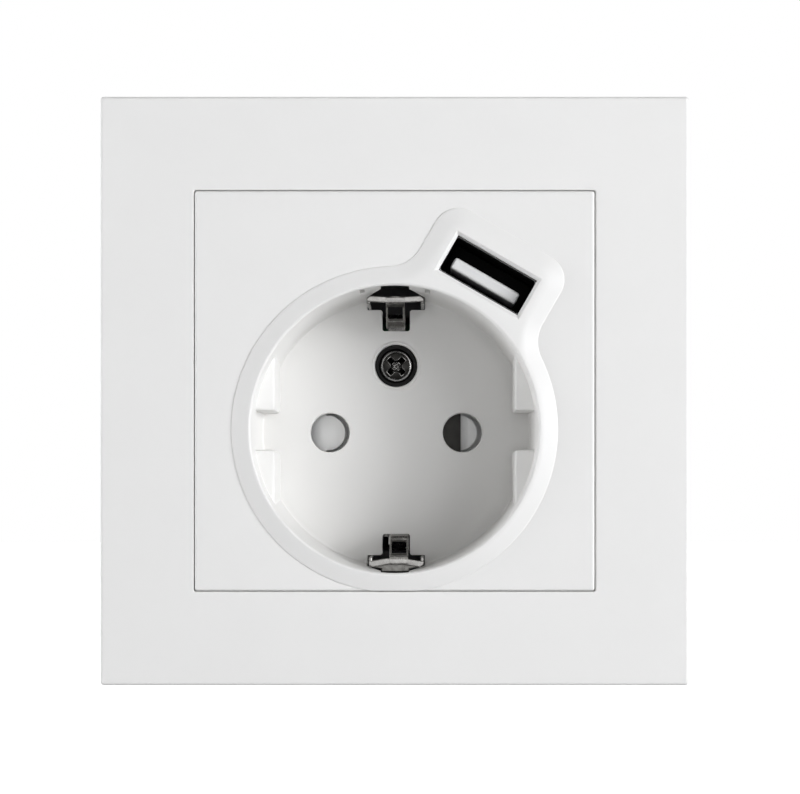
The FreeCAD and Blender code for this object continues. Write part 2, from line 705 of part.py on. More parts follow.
def ring_screws():
    face = BASE_FLAT + RING_T
    head = Part.makeCylinder(RING_SCREW_HEAD_D / 2, RING_SCREW_HEAD_H, V(face, RING_SCREW_Y, 0), V(1, 0, 0))
    shank = Part.makeCylinder(RING_SCREW_D / 2, RING_SCREW_LENGTH + RING_T,
                              V(face - RING_SCREW_LENGTH - RING_T, RING_SCREW_Y, 0), V(1, 0, 0))
    slot = box(face + RING_SCREW_HEAD_H / 2, face + 2, RING_SCREW_Y - RING_SCREW_SLOT / 2,
               RING_SCREW_Y + RING_SCREW_SLOT / 2, -RING_SCREW_HEAD_D, RING_SCREW_HEAD_D)
    screw = join([head, shank]).cut(slot)
    return Part.makeCompound([screw, mirrored(screw)])


# Base block

def within_base(y0, y1, radius, flat):
    disc = rod(0, 0, radius, y0, y1)
    return disc.common(box(-flat, flat, y0, y1, -radius, radius))


def shutter_pocket():
    half_z = SHUTTER_HALF + FIT
    left = -PIN_X - SHUTTER_FOOT - SHUTTER_WINDOW - SHUTTER_END - FIT
    right = PIN_X + PIN_HOLE_R + SHUTTER_END + SHUTTER_TRAVEL + FIT
    main = box(left, right, FLOOR_BACK - 1, SHUTTER_POCKET, PIT_Z - half_z, PIT_Z + half_z)
    spring_end = left + FIT + TAB_LENGTH + SPRING_LENGTH + FIT
    side = box(left, spring_end, FLOOR_BACK - 1, SHUTTER_POCKET,
               PIT_Z - SHUTTER_HALF - TAB_DROP - FIT, PIT_Z)
    return join([main, side])


def contact_pockets():
    """Pockets for both pin contacts and their terminals, open at the rear."""
    back = BASE_BACK + 1
    front = CONTACT_Y - FIT
    reach_x = PIN_D / 2 + LEAF_FIT + LEAF_T + FIT
    top = PIT_Z + LEAF_UP + FIT
    low = CONTACT_Z - CONTACT_T - FIT
    half = TERMINAL_HALF + POCKET_FIT
    terminal_low = TERMINAL_Z - CONTACT_T - FIT
    clamp_top = CLAMP_TOP_Z + CLAMP_T / 2 + SCREW_FIT
    pockets = [
        box(PIN_X - reach_x, PIN_X + reach_x, front, back, low - FIT, top),
        box(TERMINAL_X - half, TERMINAL_X + half, front, back, terminal_low, clamp_top),
        box(PIN_X - reach_x, TERMINAL_X + half, front, CONTACT_Y + CONTACT_T + FIT,
            terminal_low, CONTACT_Z + FIT),
        box(PIN_X - reach_x, TERMINAL_X + half, front, back, clamp_top - 1, low),
        rod(PIN_X, PIT_Z, PIN_HOLE_R + FIT, SHUTTER_POCKET - 1, CONTACT_Y),
    ]
    one_side = join(pockets)
    return [one_side, mirrored(one_side)]


def strap_channel():
    half = STRAP_WIDE / 2 + FIT
    reach = ARM_ROOT_R + STRAP_T / 2 + FIT
    return box(-half, half, STRAP_FRONT - SCREW_FIT, BASE_BACK + 1, PIT_Z - reach, PIT_Z + reach)


def port_board_slot():
    half = PORT_BOARD_W / 2 + SLOT_FIT
    return tilted(usb_box(half, FLOOR_BACK - 1, BASE_BACK + 1,
                          PORT_BOARD_V - SLOT_FIT, PORT_BOARD_OUTER + SLOT_FIT))


def weight_pockets():
    """Two open pockets above the contacts that keep the moulding to an even wall."""
    inner = BASE_R - BASE_WALL
    floor_y = FLOOR_BACK + BASE_SKIN
    low = PIT_Z + LEAF_UP + FIT + BASE_WALL + RING_SCREW_HEAD_D / 2 + BASE_WALL
    side = STRAP_WIDE / 2 + FIT + BASE_WALL
    blank = within_base(floor_y, BASE_BACK + 1, inner, BASE_FLAT - BASE_WALL)
    below_slot = tilted(box(-2 * BASE_R, 2 * BASE_R, 0, BASE_BACK + 2,
                            -BASE_R, PORT_BOARD_V - SLOT_FIT - BASE_WALL))
    left = blank.common(box(-BASE_R, -side, floor_y, BASE_BACK + 1, low, BASE_R))
    right = blank.common(box(side, BASE_R, floor_y, BASE_BACK + 1, low, BASE_R)).common(below_slot)
    screw_room = rod(0, SCREW_Z, WELL_BOSS_R + FIT + BASE_WALL, floor_y - 1, WELL_BACK + BASE_WALL)
    return [left.cut(screw_room), right.cut(screw_room)]


def base_rim():
    """Wall round the recess that reaches forward to the support ring."""
    outer = within_base(0, FLOOR_BACK, BASE_R, BASE_FLAT)
    inner = within_base(-1, FLOOR_BACK + 1, BASE_R - RIM_WALL, BASE_FLAT - RIM_WALL)
    return outer.cut(inner)


def base_block():
    body = within_base(FLOOR_BACK, BASE_BACK, BASE_R, BASE_FLAT)
    cuts = [shutter_pocket(), strap_channel(), port_board_slot()]
    cuts += contact_pockets()
    cuts += weight_pockets()
    cuts.append(clip_slot(FLOOR_BACK - 1, STRAP_BACK))
    cuts.append(rod(0, SCREW_Z, WELL_BOSS_R + FIT, FLOOR_BACK - 1, WELL_BACK + FIT))
    cuts.append(rod(0, SCREW_Z, SCREW_SHANK_D / 2 + FIT, FLOOR_BACK, BASE_BACK))
    for side in (1, -1):
        start = V(side * (BASE_FLAT + 1), RING_SCREW_Y, 0)
        depth = RING_SCREW_LENGTH + 1 + FIT
        cuts.append(Part.makeCylinder(RING_SCREW_D / 2 + SCREW_FIT, depth, start, V(-side, 0, 0)))
        cuts.append(rod(side * HOUSING_SCREW_X, HOUSING_SCREW_Z, HOUSING_SCREW_D / 2 + SCREW_FIT,
                        BASE_BACK - HOUSING_SCREW_LENGTH, BASE_BACK + 1))
    for shape in cuts:
        body = body.cut(shape)
    posts = [rod(x, z, POST_R, FLOOR_BACK + BASE_SKIN / 2, BOARD_FRONT) for x, z in BOARD_POSTS]
    return join([body] + posts)


# Shutter and its spring

def shutter_slider():
    """A plate with two windows; beside each window a ramp rises under the pin hole."""
    left = -PIN_X - SHUTTER_FOOT - SHUTTER_WINDOW - SHUTTER_END
    right = PIN_X + PIN_HOLE_R + SHUTTER_END
    body = box(left, right, SHUTTER_FRONT, SHUTTER_BACK, PIT_Z - SHUTTER_HALF, PIT_Z + SHUTTER_HALF)
    tab = box(left, left + TAB_LENGTH, SHUTTER_FRONT, SHUTTER_BACK,
              PIT_Z - SHUTTER_HALF - TAB_DROP, PIT_Z)
    body = join([body, tab])
    for side in (1, -1):
        middle = side * PIN_X
        ridge = V(middle + SHUTTER_RIDGE, SHUTTER_FRONT, 0)
        foot = V(middle - SHUTTER_FOOT, SHUTTER_BACK, 0)
        third = V(middle - SHUTTER_FOOT * SHUTTER_BOW, SHUTTER_FRONT + SHUTTER_T * SHUTTER_BOW, 0)
        over = V(ridge.x, SHUTTER_FRONT - 1, 0)
        under = V(foot.x, SHUTTER_BACK + 1, 0)
        far_under = V(foot.x - SHUTTER_WINDOW, SHUTTER_BACK + 1, 0)
        far_over = V(foot.x - SHUTTER_WINDOW, SHUTTER_FRONT - 1, 0)
        edges = [
            Part.makeLine(over, ridge), Part.Arc(ridge, third, foot).toShape(),
            Part.makeLine(foot, under), Part.makeLine(under, far_under),
            Part.makeLine(far_under, far_over), Part.makeLine(far_over, over),
        ]
        window = Part.Face(Part.Wire(edges)).extrude(V(0, 0, 2 * SHUTTER_WINDOW_HALF))
        window.translate(V(0, 0, PIT_Z - SHUTTER_WINDOW_HALF))
        body = body.cut(window)
    return body


def shutter_spring():
    """Return spring: a round-wire helix that lies along X below the shutter."""
    start = -PIN_X - SHUTTER_FOOT - SHUTTER_WINDOW - SHUTTER_END + TAB_LENGTH + FIT / 2
    radius = (SPRING_D - SPRING_WIRE) / 2
    length = SPRING_LENGTH - FIT
    helix = Part.makeHelix((length - SPRING_WIRE) / SPRING_TURNS, length - SPRING_WIRE, radius)
    ring = Part.Wire(Part.makeCircle(SPRING_WIRE / 2, V(radius, 0, 0), V(0, 1, 0)))
    coil = Part.Wire(helix.Edges).makePipeShell([ring], True, True)
    coil.rotate(V(0, 0, 0), V(0, 1, 0), 90)
    middle_y = (SHUTTER_FRONT + SHUTTER_BACK) / 2
    middle_z = PIT_Z - SHUTTER_HALF - TAB_DROP / 2
    coil.translate(V(start + SPRING_WIRE / 2, middle_y, middle_z))
    return coil


# Contacts and wire clamps

def terminal_bar(x):
    return box(x - TERMINAL_HALF, x + TERMINAL_HALF, CONTACT_Y, TERMINAL_BACK,
               TERMINAL_Z - CONTACT_T, TERMINAL_Z)


def pin_contact():
    """Stamped brass: two leaves that grip the pin, a tail, a terminal bar and a solder tab."""
    inner = PIN_D / 2 + LEAF_FIT
    outer = inner + LEAF_T
    back = CONTACT_BACK
    web = box(PIN_X - outer, PIN_X + outer, CONTACT_Y, back, CONTACT_Z - CONTACT_T, CONTACT_Z)
    leaves = [
        box(PIN_X - outer, PIN_X - inner, CONTACT_Y, back, CONTACT_Z - CONTACT_T, PIT_Z + LEAF_UP),
        box(PIN_X + inner, PIN_X + outer, CONTACT_Y, back, CONTACT_Z - CONTACT_T, PIT_Z + LEAF_UP),
    ]
    low = TERMINAL_Z - CONTACT_T
    shoulder = CLAMP_TOP_Z - CLAMP_T
    tail = sheet([
        (PIN_X - outer, CONTACT_Z), (PIN_X + outer, CONTACT_Z),
        (TERMINAL_X + TERMINAL_HALF, shoulder), (TERMINAL_X + TERMINAL_HALF, low),
        (TERMINAL_X - TERMINAL_HALF, low), (TERMINAL_X - TERMINAL_HALF, shoulder),
        (PIN_X - outer, CONTACT_Z - 2 * CONTACT_T),
    ], CONTACT_Y, CONTACT_Y + CONTACT_T)
    tab = box(PIN_X - SOLDER_TAB / 2, PIN_X + SOLDER_TAB / 2, back - 1, BOARD_BACK + 1,
              CONTACT_Z - CONTACT_T, CONTACT_Z)
    return join([web] + leaves + [tail, tab, terminal_bar(TERMINAL_X)])


def clamp_path():
    top = (CLAMP_TOP_Z, TERMINAL_BACK - CLAMP_SHORT - CLAMP_TOP_LEG)
    bend = (CLAMP_TOP_Z, TERMINAL_BACK - CLAMP_SHORT)
    tip = (TERMINAL_Z + CLAMP_T, CONTACT_Y + CLAMP_FRONT)
    return [top, bend, tip]


def wire_clamp(x):
    """Bent steel leaf that presses the wire on the terminal bar."""
    clamp = bent_strip(clamp_path(), CLAMP_T, CLAMP_BEND, CLAMP_HALF)
    clamp.translate(V(x, 0, 0))
    return clamp


def leaf_depth(z):
    """Depth of the clamp leaf's centre line at one height."""
    _, bend, tip = clamp_path()
    share = (bend[0] - z) / (bend[0] - tip[0])
    return bend[1] + share * (tip[1] - bend[1])


def release_button(x):
    """Push button beside the wire: its slanted end bears on the clamp leaf."""
    low = BUTTON_Z - BUTTON_H / 2
    high = BUTTON_Z + BUTTON_H / 2
    back = HOUSING_BACK + BUTTON_TRAVEL
    slant = CLAMP_T + BUTTON_GAP
    outline = [(low, leaf_depth(low) + slant), (high, leaf_depth(high) + slant), (high, back), (low, back)]
    peg = beam(outline, x - BUTTON_W / 2, x + BUTTON_W / 2)
    collar = box(x - BUTTON_W / 2 - BUTTON_COLLAR_GROW, x + BUTTON_W / 2 + BUTTON_COLLAR_GROW,
                 BASE_BACK - FIT - BUTTON_COLLAR, BASE_BACK - FIT, low, high)
    return join([peg, collar])


def earth_strap():
    """One bent strip: a bar behind the floor, a spring arm at each end and a terminal tongue."""
    upper = [
        (PIT_Z, STRAP_MID), (PIT_Z + ARM_ROOT_R, STRAP_MID), (PIT_Z + ARM_ROOT_R, FLOOR_FRONT - ARM_STRAIGHT),
        (PIT_Z + ARM_BULGE_R, ARM_BULGE_Y), (PIT_Z + ARM_TIP_R, ARM_TIP_Y),
    ]
    arm = bent_strip(upper, STRAP_T, ARM_BEND, ARM_WIDE / 2)
    bar = bent_strip(upper[:3], STRAP_T, ARM_BEND, STRAP_WIDE / 2)
    bar = bar.common(box(-STRAP_WIDE, STRAP_WIDE, STRAP_FRONT, STRAP_BACK, -BASE_R, BASE_R))
    window = box(-WINDOW_WIDE / 2, WINDOW_WIDE / 2, ARM_TIP_Y - 1, ARM_BULGE_Y,
                 PIT_Z + WINDOW_INNER_R, PIT_Z + WINDOW_OUTER_R)
    arm = arm.cut(window)
    wings = []
    for side in (1, -1):
        near, far = side * (ARM_WIDE / 2 - FIT), side * WING_SPAN / 2
        foot = PIT_Z + WING_R
        wings.append(sheet([
            (near, foot - WING_SWEEP / 2), (far, foot + WING_SWEEP),
            (far, foot + WING_SWEEP + WING_RADIAL), (near, foot + WING_RADIAL),
        ], ARM_TIP_Y - WING_DEPTH / 2, ARM_TIP_Y + WING_DEPTH / 2))
    bridge = box(-ARM_WIDE / 2, ARM_WIDE / 2, ARM_TIP_Y - WING_DEPTH / 2, ARM_TIP_Y + WING_DEPTH / 2,
                 PIT_Z + WING_R - WING_SWEEP / 2, PIT_Z + WING_R + WING_RADIAL)
    half = join([arm, bar, bridge] + wings)
    other = half.copy()
    other.rotate(V(0, 0, PIT_Z), V(0, 1, 0), 180)
    tongue = box(-TERMINAL_HALF, TERMINAL_HALF, STRAP_MID, TERMINAL_BACK, TERMINAL_Z - CONTACT_T, TERMINAL_Z)
    strap = join([half, other, tongue])
    return strap.cut(rod(0, SCREW_Z, SCREW_SHANK_D / 2, STRAP_FRONT - 1, STRAP_BACK + 1))


# USB port

def usb_shell():
    low, high = USB_OUT - SHELL_H / 2, USB_OUT + SHELL_H / 2
    outer = usb_box(SHELL_W / 2, SHELL_FRONT, SHELL_BACK, low, high)
    along = [e for e in outer.Edges if e.BoundBox.YLength > SHELL_LENGTH / 2]
    outer = outer.makeFillet(SHELL_CORNER, along)
    inner = usb_box(SHELL_W / 2 - SHELL_WALL, SHELL_FRONT - 1, SHELL_BACK + 1,
                    low + SHELL_WALL, high - SHELL_WALL)
    along = [e for e in inner.Edges if e.BoundBox.YLength > SHELL_LENGTH / 2]
    inner = inner.makeFillet(SHELL_CORNER - SHELL_WALL, along)
    shell = outer.cut(inner)
    tabs = []
    for side in (1, -1):
        edge = USB_SIDE + side * (SHELL_W / 2 - SHELL_CORNER)
        left, right = sorted((edge, edge - side * SHELL_WALL))
        tabs.append(box(left, right, -SHELL_TAB, 0, high - SHELL_WALL, PORT_BOARD_OUTER + SHELL_WALL))
    return tilted(join([shell] + tabs))


def usb_tongue():
    low = USB_OUT - SHELL_H / 2 + SHELL_WALL + SCREW_FIT
    high = USB_OUT + SHELL_H / 2 - SHELL_WALL - SCREW_FIT
    tip = SHELL_FRONT + TONGUE_RECESS
    tongue = usb_box(TONGUE_W / 2, tip, SHELL_BACK - TONGUE_BLOCK / 2,
                     TONGUE_V - TONGUE_T / 2, TONGUE_V + TONGUE_T / 2)
    tongue = tongue.makeChamfer(TONGUE_T / 4, edges_at_depth(tongue, tip))
    block_half = SHELL_W / 2 - SHELL_CORNER
    block = usb_box(block_half, SHELL_BACK - TONGUE_BLOCK, SHELL_BACK, low, high)
    body = join([tongue, block])
    for place in USB_PIN_PLACES:
        body = body.cut(usb_box(USB_PIN_W / 2, SHELL_BACK - TONGUE_BLOCK - 1, SHELL_BACK + 1,
                                USB_PIN_V, USB_PIN_V + USB_PIN_T, USB_SIDE + place))
    return tilted(body)


def usb_contacts():
    """Four spring strips on the tongue, each turned out through the port board behind the shell."""
    tip = SHELL_FRONT + 2 * TONGUE_RECESS
    exit_y = SHELL_BACK + FIT
    pins = []
    for place in USB_PIN_PLACES:
        u = USB_SIDE + place
        flat = usb_box(USB_PIN_W / 2, tip, exit_y, USB_PIN_V, USB_PIN_V + USB_PIN_T, u)
        leg = usb_box(USB_PIN_W / 4, exit_y - USB_PIN_T, exit_y, USB_PIN_V, PORT_BOARD_OUTER + SHELL_WALL, u)
        foot = usb_box(USB_PIN_W / 2, exit_y - USB_PIN_T, exit_y, USB_PIN_V, USB_PIN_V + 2 * USB_PIN_T, u)
        pins.append(tilted(join([flat, foot, leg])))
    return Part.makeCompound(pins)


def usb_board():
    """Upright board that carries the port; its narrow rear tab stands in the charger board."""
    wide = usb_box(PORT_BOARD_W / 2, PORT_BOARD_FRONT, BOARD_FRONT - FIT / 2, PORT_BOARD_V, PORT_BOARD_OUTER)
    tab = usb_box(PORT_TAB_W / 2, BOARD_FRONT - 1, BOARD_BACK + PORT_TAB_OUT, PORT_BOARD_V, PORT_BOARD_OUTER)
    board = join([wide, tab])
    exit_y = SHELL_BACK + FIT
    for place in USB_PIN_PLACES:
        board = board.cut(usb_box(USB_PIN_W / 4 + SCREW_FIT, exit_y - USB_PIN_T - SCREW_FIT,
                                  exit_y + SCREW_FIT, PORT_BOARD_V - 1, PORT_BOARD_OUTER + 1,
                                  USB_SIDE + place))
    for side in (1, -1):
        edge = USB_SIDE + side * (SHELL_W / 2 - SHELL_CORNER)
        left, right = sorted((edge + side * SCREW_FIT, edge - side * (SHELL_WALL + SCREW_FIT)))
        board = board.cut(box(left, right, -SHELL_TAB - SCREW_FIT, SCREW_FIT,
                              PORT_BOARD_V - 1, PORT_BOARD_OUTER + 1))
    return tilted(board)


def usb_board_parts():
    """Small chips on the outer face of the port board, in front of the base block."""
    chips = []
    for u, y, wide, long, high in PORT_CHIPS:
        middle = FLOOR_BACK - y
        chips.append(tilted(usb_box(wide / 2, middle - long / 2, middle + long / 2,
                                    PORT_BOARD_OUTER, PORT_BOARD_OUTER + high, USB_SIDE + u)))
    return Part.makeCompound(chips)


# Charger board and its components

def charger_board():
    board = within_base(BOARD_FRONT, BOARD_BACK, BOARD_R, INNER_FLAT - BOARD_FIT)
    low = TOWER_FLOOR_Z + BOARD_FIT
    board = board.common(box(-BOARD_R, BOARD_R, BOARD_FRONT, BOARD_BACK, low, BOARD_R))
    for side in (1, -1):
        half = SOLDER_TAB / 2 + SLOT_FIT
        board = board.cut(box(side * PIN_X - half, side * PIN_X + half, BOARD_FRONT - 1, BOARD_BACK + 1,
                              CONTACT_Z - CONTACT_T - SLOT_FIT, CONTACT_Z + SLOT_FIT))
    slot = usb_box(PORT_TAB_W / 2 + SLOT_FIT, BOARD_FRONT - 1, BOARD_BACK + 1,
                   PORT_BOARD_V - SLOT_FIT, PORT_BOARD_OUTER + SLOT_FIT)
    return board.cut(tilted(slot))


def core_leg_box(half_x, y0, y1, half_z):
    return box(CORE_X - half_x, CORE_X + half_x, y0, y1, CORE_Z - half_z, CORE_Z + half_z)


def transformer_core():
    """Closed ferrite core with a middle leg; its two windows take the winding."""
    top = BOARD_BACK + CORE_H
    body = core_leg_box(CORE_W / 2, BOARD_BACK, top, CORE_D / 2)
    for side in (1, -1):
        near, far = sorted((side * CORE_LEG / 2, side * (CORE_W / 2 - CORE_SIDE)))
        body = body.cut(box(CORE_X + near, CORE_X + far, BOARD_BACK + CORE_YOKE, top - CORE_YOKE,
                            CORE_Z - CORE_D, CORE_Z + CORE_D))
    return body


def transformer_winding():
    start = BOARD_BACK + CORE_YOKE + SCREW_FIT
    end = BOARD_BACK + CORE_H - CORE_YOKE - SCREW_FIT
    coil = core_leg_box(CORE_W / 2 - CORE_SIDE - SCREW_FIT, start, end, CORE_D / 2 + COIL_OVER)
    return coil.cut(core_leg_box(CORE_LEG / 2 + SCREW_FIT, start - 1, end + 1, CORE_D / 2 + SCREW_FIT))


def can(x, z, radius, height):
    """Electrolytic capacitor: an aluminium can with a groove near its foot."""
    body = rod(x, z, radius, BOARD_BACK, BOARD_BACK + height)
    body = body.makeFillet(CAP_EDGE, edges_at_depth(body, BOARD_BACK + height))
    groove = Part.makeTorus(radius + GROOVE_OUT, GROOVE_R, V(x, BOARD_BACK + GROOVE_UP, z), V(0, 1, 0))
    return body.cut(groove)


def input_capacitors():
    return Part.makeCompound([can(x, z, CAP_R, CAP_H) for x, z in CAP_PLACES])


def output_capacitor():
    return can(OUT_CAP_X, OUT_CAP_Z, OUT_CAP_R, OUT_CAP_H)


def choke():
    """Drum choke: a ferrite bobbin with a waist."""
    x, z = CHOKE_PLACE
    drum = rod(x, z, CHOKE_R, BOARD_BACK, BOARD_BACK + CHOKE_H)
    waist = rod(x, z, CHOKE_R + 1, BOARD_BACK + CHOKE_FLANGE, BOARD_BACK + CHOKE_H - CHOKE_FLANGE)
    waist = waist.cut(rod(x, z, CHOKE_WAIST_R, BOARD_BACK, BOARD_BACK + CHOKE_H))
    return drum.cut(waist)


def fuse_resistor():
    x, z = FUSE_PLACE
    start = V(x - FUSE_LENGTH / 2, BOARD_BACK + FUSE_R, z)
    body = Part.makeCylinder(FUSE_R, FUSE_LENGTH, start, V(1, 0, 0))
    body = body.makeFillet(FUSE_EDGE, [e for e in body.Edges if e.BoundBox.XLength < FUSE_R / 10])
    lead = LEAD_HALF
    reach = FUSE_LENGTH / 2 + LEAD_OUT
    legs = []
    for side in (1, -1):
        near, far = sorted((side * (FUSE_LENGTH / 2 - FIT), side * reach))
        legs.append(box(x + near, x + far, BOARD_BACK + FUSE_R - lead, BOARD_BACK + FUSE_R + lead,
                        z - lead, z + lead))
        near, far = sorted((side * (reach - 2 * lead), side * reach))
        legs.append(box(x + near, x + far, BOARD_BACK, BOARD_BACK + FUSE_R + lead, z - lead, z + lead))
    return join([body] + legs)


def board_chips():
    chips = []
    for x, z, wide, long, high in CHIPS:
        chips.append(box(x - wide / 2, x + wide / 2, BOARD_BACK, BOARD_BACK + high,
                         z - long / 2, z + long / 2))
    return Part.makeCompound(chips)


# Rear housing

def rear_housing():
    plate = within_base(BASE_BACK, HOUSING_BACK, BASE_R, BASE_FLAT)
    tower_low = TOWER_FLOOR_Z - HOUSING_WALL
    above = box(-BASE_R, BASE_R, BASE_BACK, TOWER_BACK, tower_low, BASE_R)
    tower = within_base(BASE_BACK, TOWER_BACK, BASE_R, BASE_FLAT).common(above)
    tower = tower.makeFillet(HOUSING_WALL / 2, edges_at_depth(tower, TOWER_BACK))
    body = join([plate, tower])
    room = within_base(BASE_BACK - 1, TOWER_BACK - HOUSING_WALL, INNER_R, INNER_FLAT)
    body = body.cut(room.common(box(-BASE_R, BASE_R, BASE_BACK - 1, TOWER_BACK, TOWER_FLOOR_Z, BASE_R)))
    for x in (-TERMINAL_X, 0, TERMINAL_X):
        body = body.cut(rod(x, WIRE_Z, WIRE_HOLE_D / 2, BASE_BACK - 1, HOUSING_BACK + 1))
        half_w = BUTTON_W / 2 + FIT / 2
        half_h = BUTTON_H / 2 + FIT / 2
        body = body.cut(box(x - half_w, x + half_w, BASE_BACK - 1, HOUSING_BACK + 1,
                            BUTTON_Z - half_h, BUTTON_Z + half_h))
    for side in (1, -1):
        body = body.cut(rod(side * HOUSING_SCREW_X, HOUSING_SCREW_Z, HOUSING_SCREW_D / 2 + FIT,
                            BASE_BACK - 1, HOUSING_BACK + 1))
        body = body.cut(rod(side * HOUSING_SCREW_X, HOUSING_SCREW_Z, HOUSING_SCREW_HEAD_D / 2 + FIT,
                            HOUSING_BACK, TOWER_BACK + 1))
    posts = [rod(x, z, PRESS_POST_R, BOARD_BACK, TOWER_BACK - HOUSING_WALL / 2) for x, z in PRESS_POSTS]
    return join([body] + posts)


def housing_screws():
    screws = []
    head_top = HOUSING_BACK + HOUSING_SCREW_HEAD_H
    for side in (1, -1):
        x = side * HOUSING_SCREW_X
        head = rod(x, HOUSING_SCREW_Z, HOUSING_SCREW_HEAD_D / 2, HOUSING_BACK, head_top)
        head = head.makeFillet(HOUSING_SCREW_ROUND, edges_at_depth(head, head_top))
        shank = rod(x, HOUSING_SCREW_Z, HOUSING_SCREW_D / 2,
                    BASE_BACK - HOUSING_SCREW_LENGTH + 1, HOUSING_BACK + JOIN)
        screw = join([head, shank])
        for turn in (0, 90):
            arm = box(-HOUSING_CROSS_LONG / 2, HOUSING_CROSS_LONG / 2, head_top - HOUSING_SCREW_HEAD_H / 2,
                      TOWER_BACK, -HOUSING_CROSS_WIDE / 2, HOUSING_CROSS_WIDE / 2)
            arm.rotate(V(0, 0, 0), V(0, 1, 0), turn)
            arm.translate(V(x, 0, HOUSING_SCREW_Z))
            screw = screw.cut(arm)
        screws.append(screw)
    return Part.makeCompound(screws)


MOULDING = plate_moulding()

PIECES = {
    "cover_frame": cover_frame,
    "centre_plate": lambda: slice_of(MOULDING, COLLAR_FRONT, LEDGE_FRONT),
    "recess_wall": lambda: slice_of(MOULDING, LEDGE_FRONT, FLOOR_FRONT),
    "recess_floor": lambda: slice_of(MOULDING, FLOOR_FRONT, WELL_BACK),
    "cover_screw": cover_screw,
    "screw_sleeve": screw_sleeve,
    "support_ring": support_ring,
    "ring_screws": ring_screws,
    "base_block": base_block,
    "base_rim": base_rim,
    "shutter_slider": shutter_slider,
    "shutter_spring": shutter_spring,
    "earth_strap": earth_strap,
    "line_contact": lambda: mirrored(pin_contact()),
    "neutral_contact": pin_contact,
    "line_clamp": lambda: wire_clamp(-TERMINAL_X),
    "neutral_clamp": lambda: wire_clamp(TERMINAL_X),
    "earth_clamp": lambda: wire_clamp(0),
    "line_button": lambda: release_button(-TERMINAL_X),
    "neutral_button": lambda: release_button(TERMINAL_X),
    "earth_button": lambda: release_button(0),
    "usb_shell": usb_shell,
    "usb_tongue": usb_tongue,
    "usb_contacts": usb_contacts,
    "usb_board": usb_board,
    "usb_board_parts": usb_board_parts,
    "charger_board": charger_board,
    "transformer_core": transformer_core,
    "transformer_winding": transformer_winding,
    "input_capacitors": input_capacitors,
    "output_capacitor": output_capacitor,
    "choke": choke,
    "fuse_resistor": fuse_resistor,
    "board_chips": board_chips,
    "rear_housing": rear_housing,
    "housing_screws": housing_screws,
}

os.makedirs("parts", exist_ok=True)
for name, make in PIECES.items():
    shape = make()
    shape.exportStep("parts/" + name + ".step")
    print(name, "solids", len(shape.Solids), "volume", round(shape.Volume, 2), "valid", shape.isValid())
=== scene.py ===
# %% [markdown]
# # A flush wall socket with a slanted USB port
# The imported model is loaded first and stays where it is. All else is made in its own frame: X to
# the right, Y into the wall and Z up, with the front facing -Y. Sizes are in millimetres, and every
# point is multiplied by MM once, because Blender works in metres.

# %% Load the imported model
import json
import math
import bmesh
import bpy
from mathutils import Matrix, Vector


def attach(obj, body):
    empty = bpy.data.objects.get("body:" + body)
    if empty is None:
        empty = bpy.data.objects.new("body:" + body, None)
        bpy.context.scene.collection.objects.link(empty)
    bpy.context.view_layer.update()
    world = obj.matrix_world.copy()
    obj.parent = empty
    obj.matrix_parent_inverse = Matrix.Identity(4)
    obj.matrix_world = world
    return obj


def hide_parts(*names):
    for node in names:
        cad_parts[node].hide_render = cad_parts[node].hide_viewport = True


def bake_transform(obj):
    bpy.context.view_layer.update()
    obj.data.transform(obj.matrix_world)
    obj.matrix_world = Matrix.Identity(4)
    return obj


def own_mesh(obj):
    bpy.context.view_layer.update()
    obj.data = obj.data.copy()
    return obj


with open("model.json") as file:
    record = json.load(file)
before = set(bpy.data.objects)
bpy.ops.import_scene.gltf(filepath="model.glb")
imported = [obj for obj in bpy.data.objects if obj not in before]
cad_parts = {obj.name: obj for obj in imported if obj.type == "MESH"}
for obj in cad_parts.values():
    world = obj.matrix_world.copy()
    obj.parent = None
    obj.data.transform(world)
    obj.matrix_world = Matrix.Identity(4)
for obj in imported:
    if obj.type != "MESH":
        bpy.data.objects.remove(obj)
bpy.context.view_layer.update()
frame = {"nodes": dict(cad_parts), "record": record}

MM = 0.001
nodes = frame["nodes"]
scene = bpy.context.scene

def placed(name, data):
    """New object in the scene."""
    thing = bpy.data.objects.new(name, data)
    scene.collection.objects.link(thing)
    return thing


# %% [markdown]
# ## Camera
# The photograph shows the square frame with no keystone, so the camera looks straight along +Y. The
# inside of the recess shows from slightly below right, which gives the point the camera stands
# opposite. A small lens shift then brings the socket to the middle, because turning the camera
# would make the frame's sides lean.

# %% Place the camera
PHOTO_WIDTH, PHOTO_HEIGHT = 800, 794
FOCAL_PX = 2690.0
FOOT_PX = (430.0, 505.0)
EYE = Vector((4.86, -380.0, -15.7)) * MM

lens = bpy.data.cameras.new("photo_camera")
camera = placed("photo_camera", lens)
scene.camera = camera
camera.location = EYE
camera.rotation_euler = (math.radians(90), 0, 0)
lens.sensor_fit = "HORIZONTAL"
lens.lens = lens.sensor_width * FOCAL_PX / PHOTO_WIDTH
lens.shift_x = (PHOTO_WIDTH / 2 - FOOT_PX[0]) / PHOTO_WIDTH
lens.shift_y = (FOOT_PX[1] - PHOTO_HEIGHT / 2) / PHOTO_WIDTH
lens.clip_start = 0.01
print("lens", round(lens.lens, 1), "mm, shift", round(lens.shift_x, 3), round(lens.shift_y, 3))

# %% [markdown]
# ## Light
# The light comes from low on both sides, stronger from the right, with hardly any from the front:
# the collar's right slope is bright, and the recess darkens towards its right wall. Each lamp is a
# soft disc, placed by two angles. The lamps are a trace blue and the plastic a trace warm, so
# direct light looks neutral, and light that bounced inside the recess looks warm. Two weaker lamps
# light the rear.

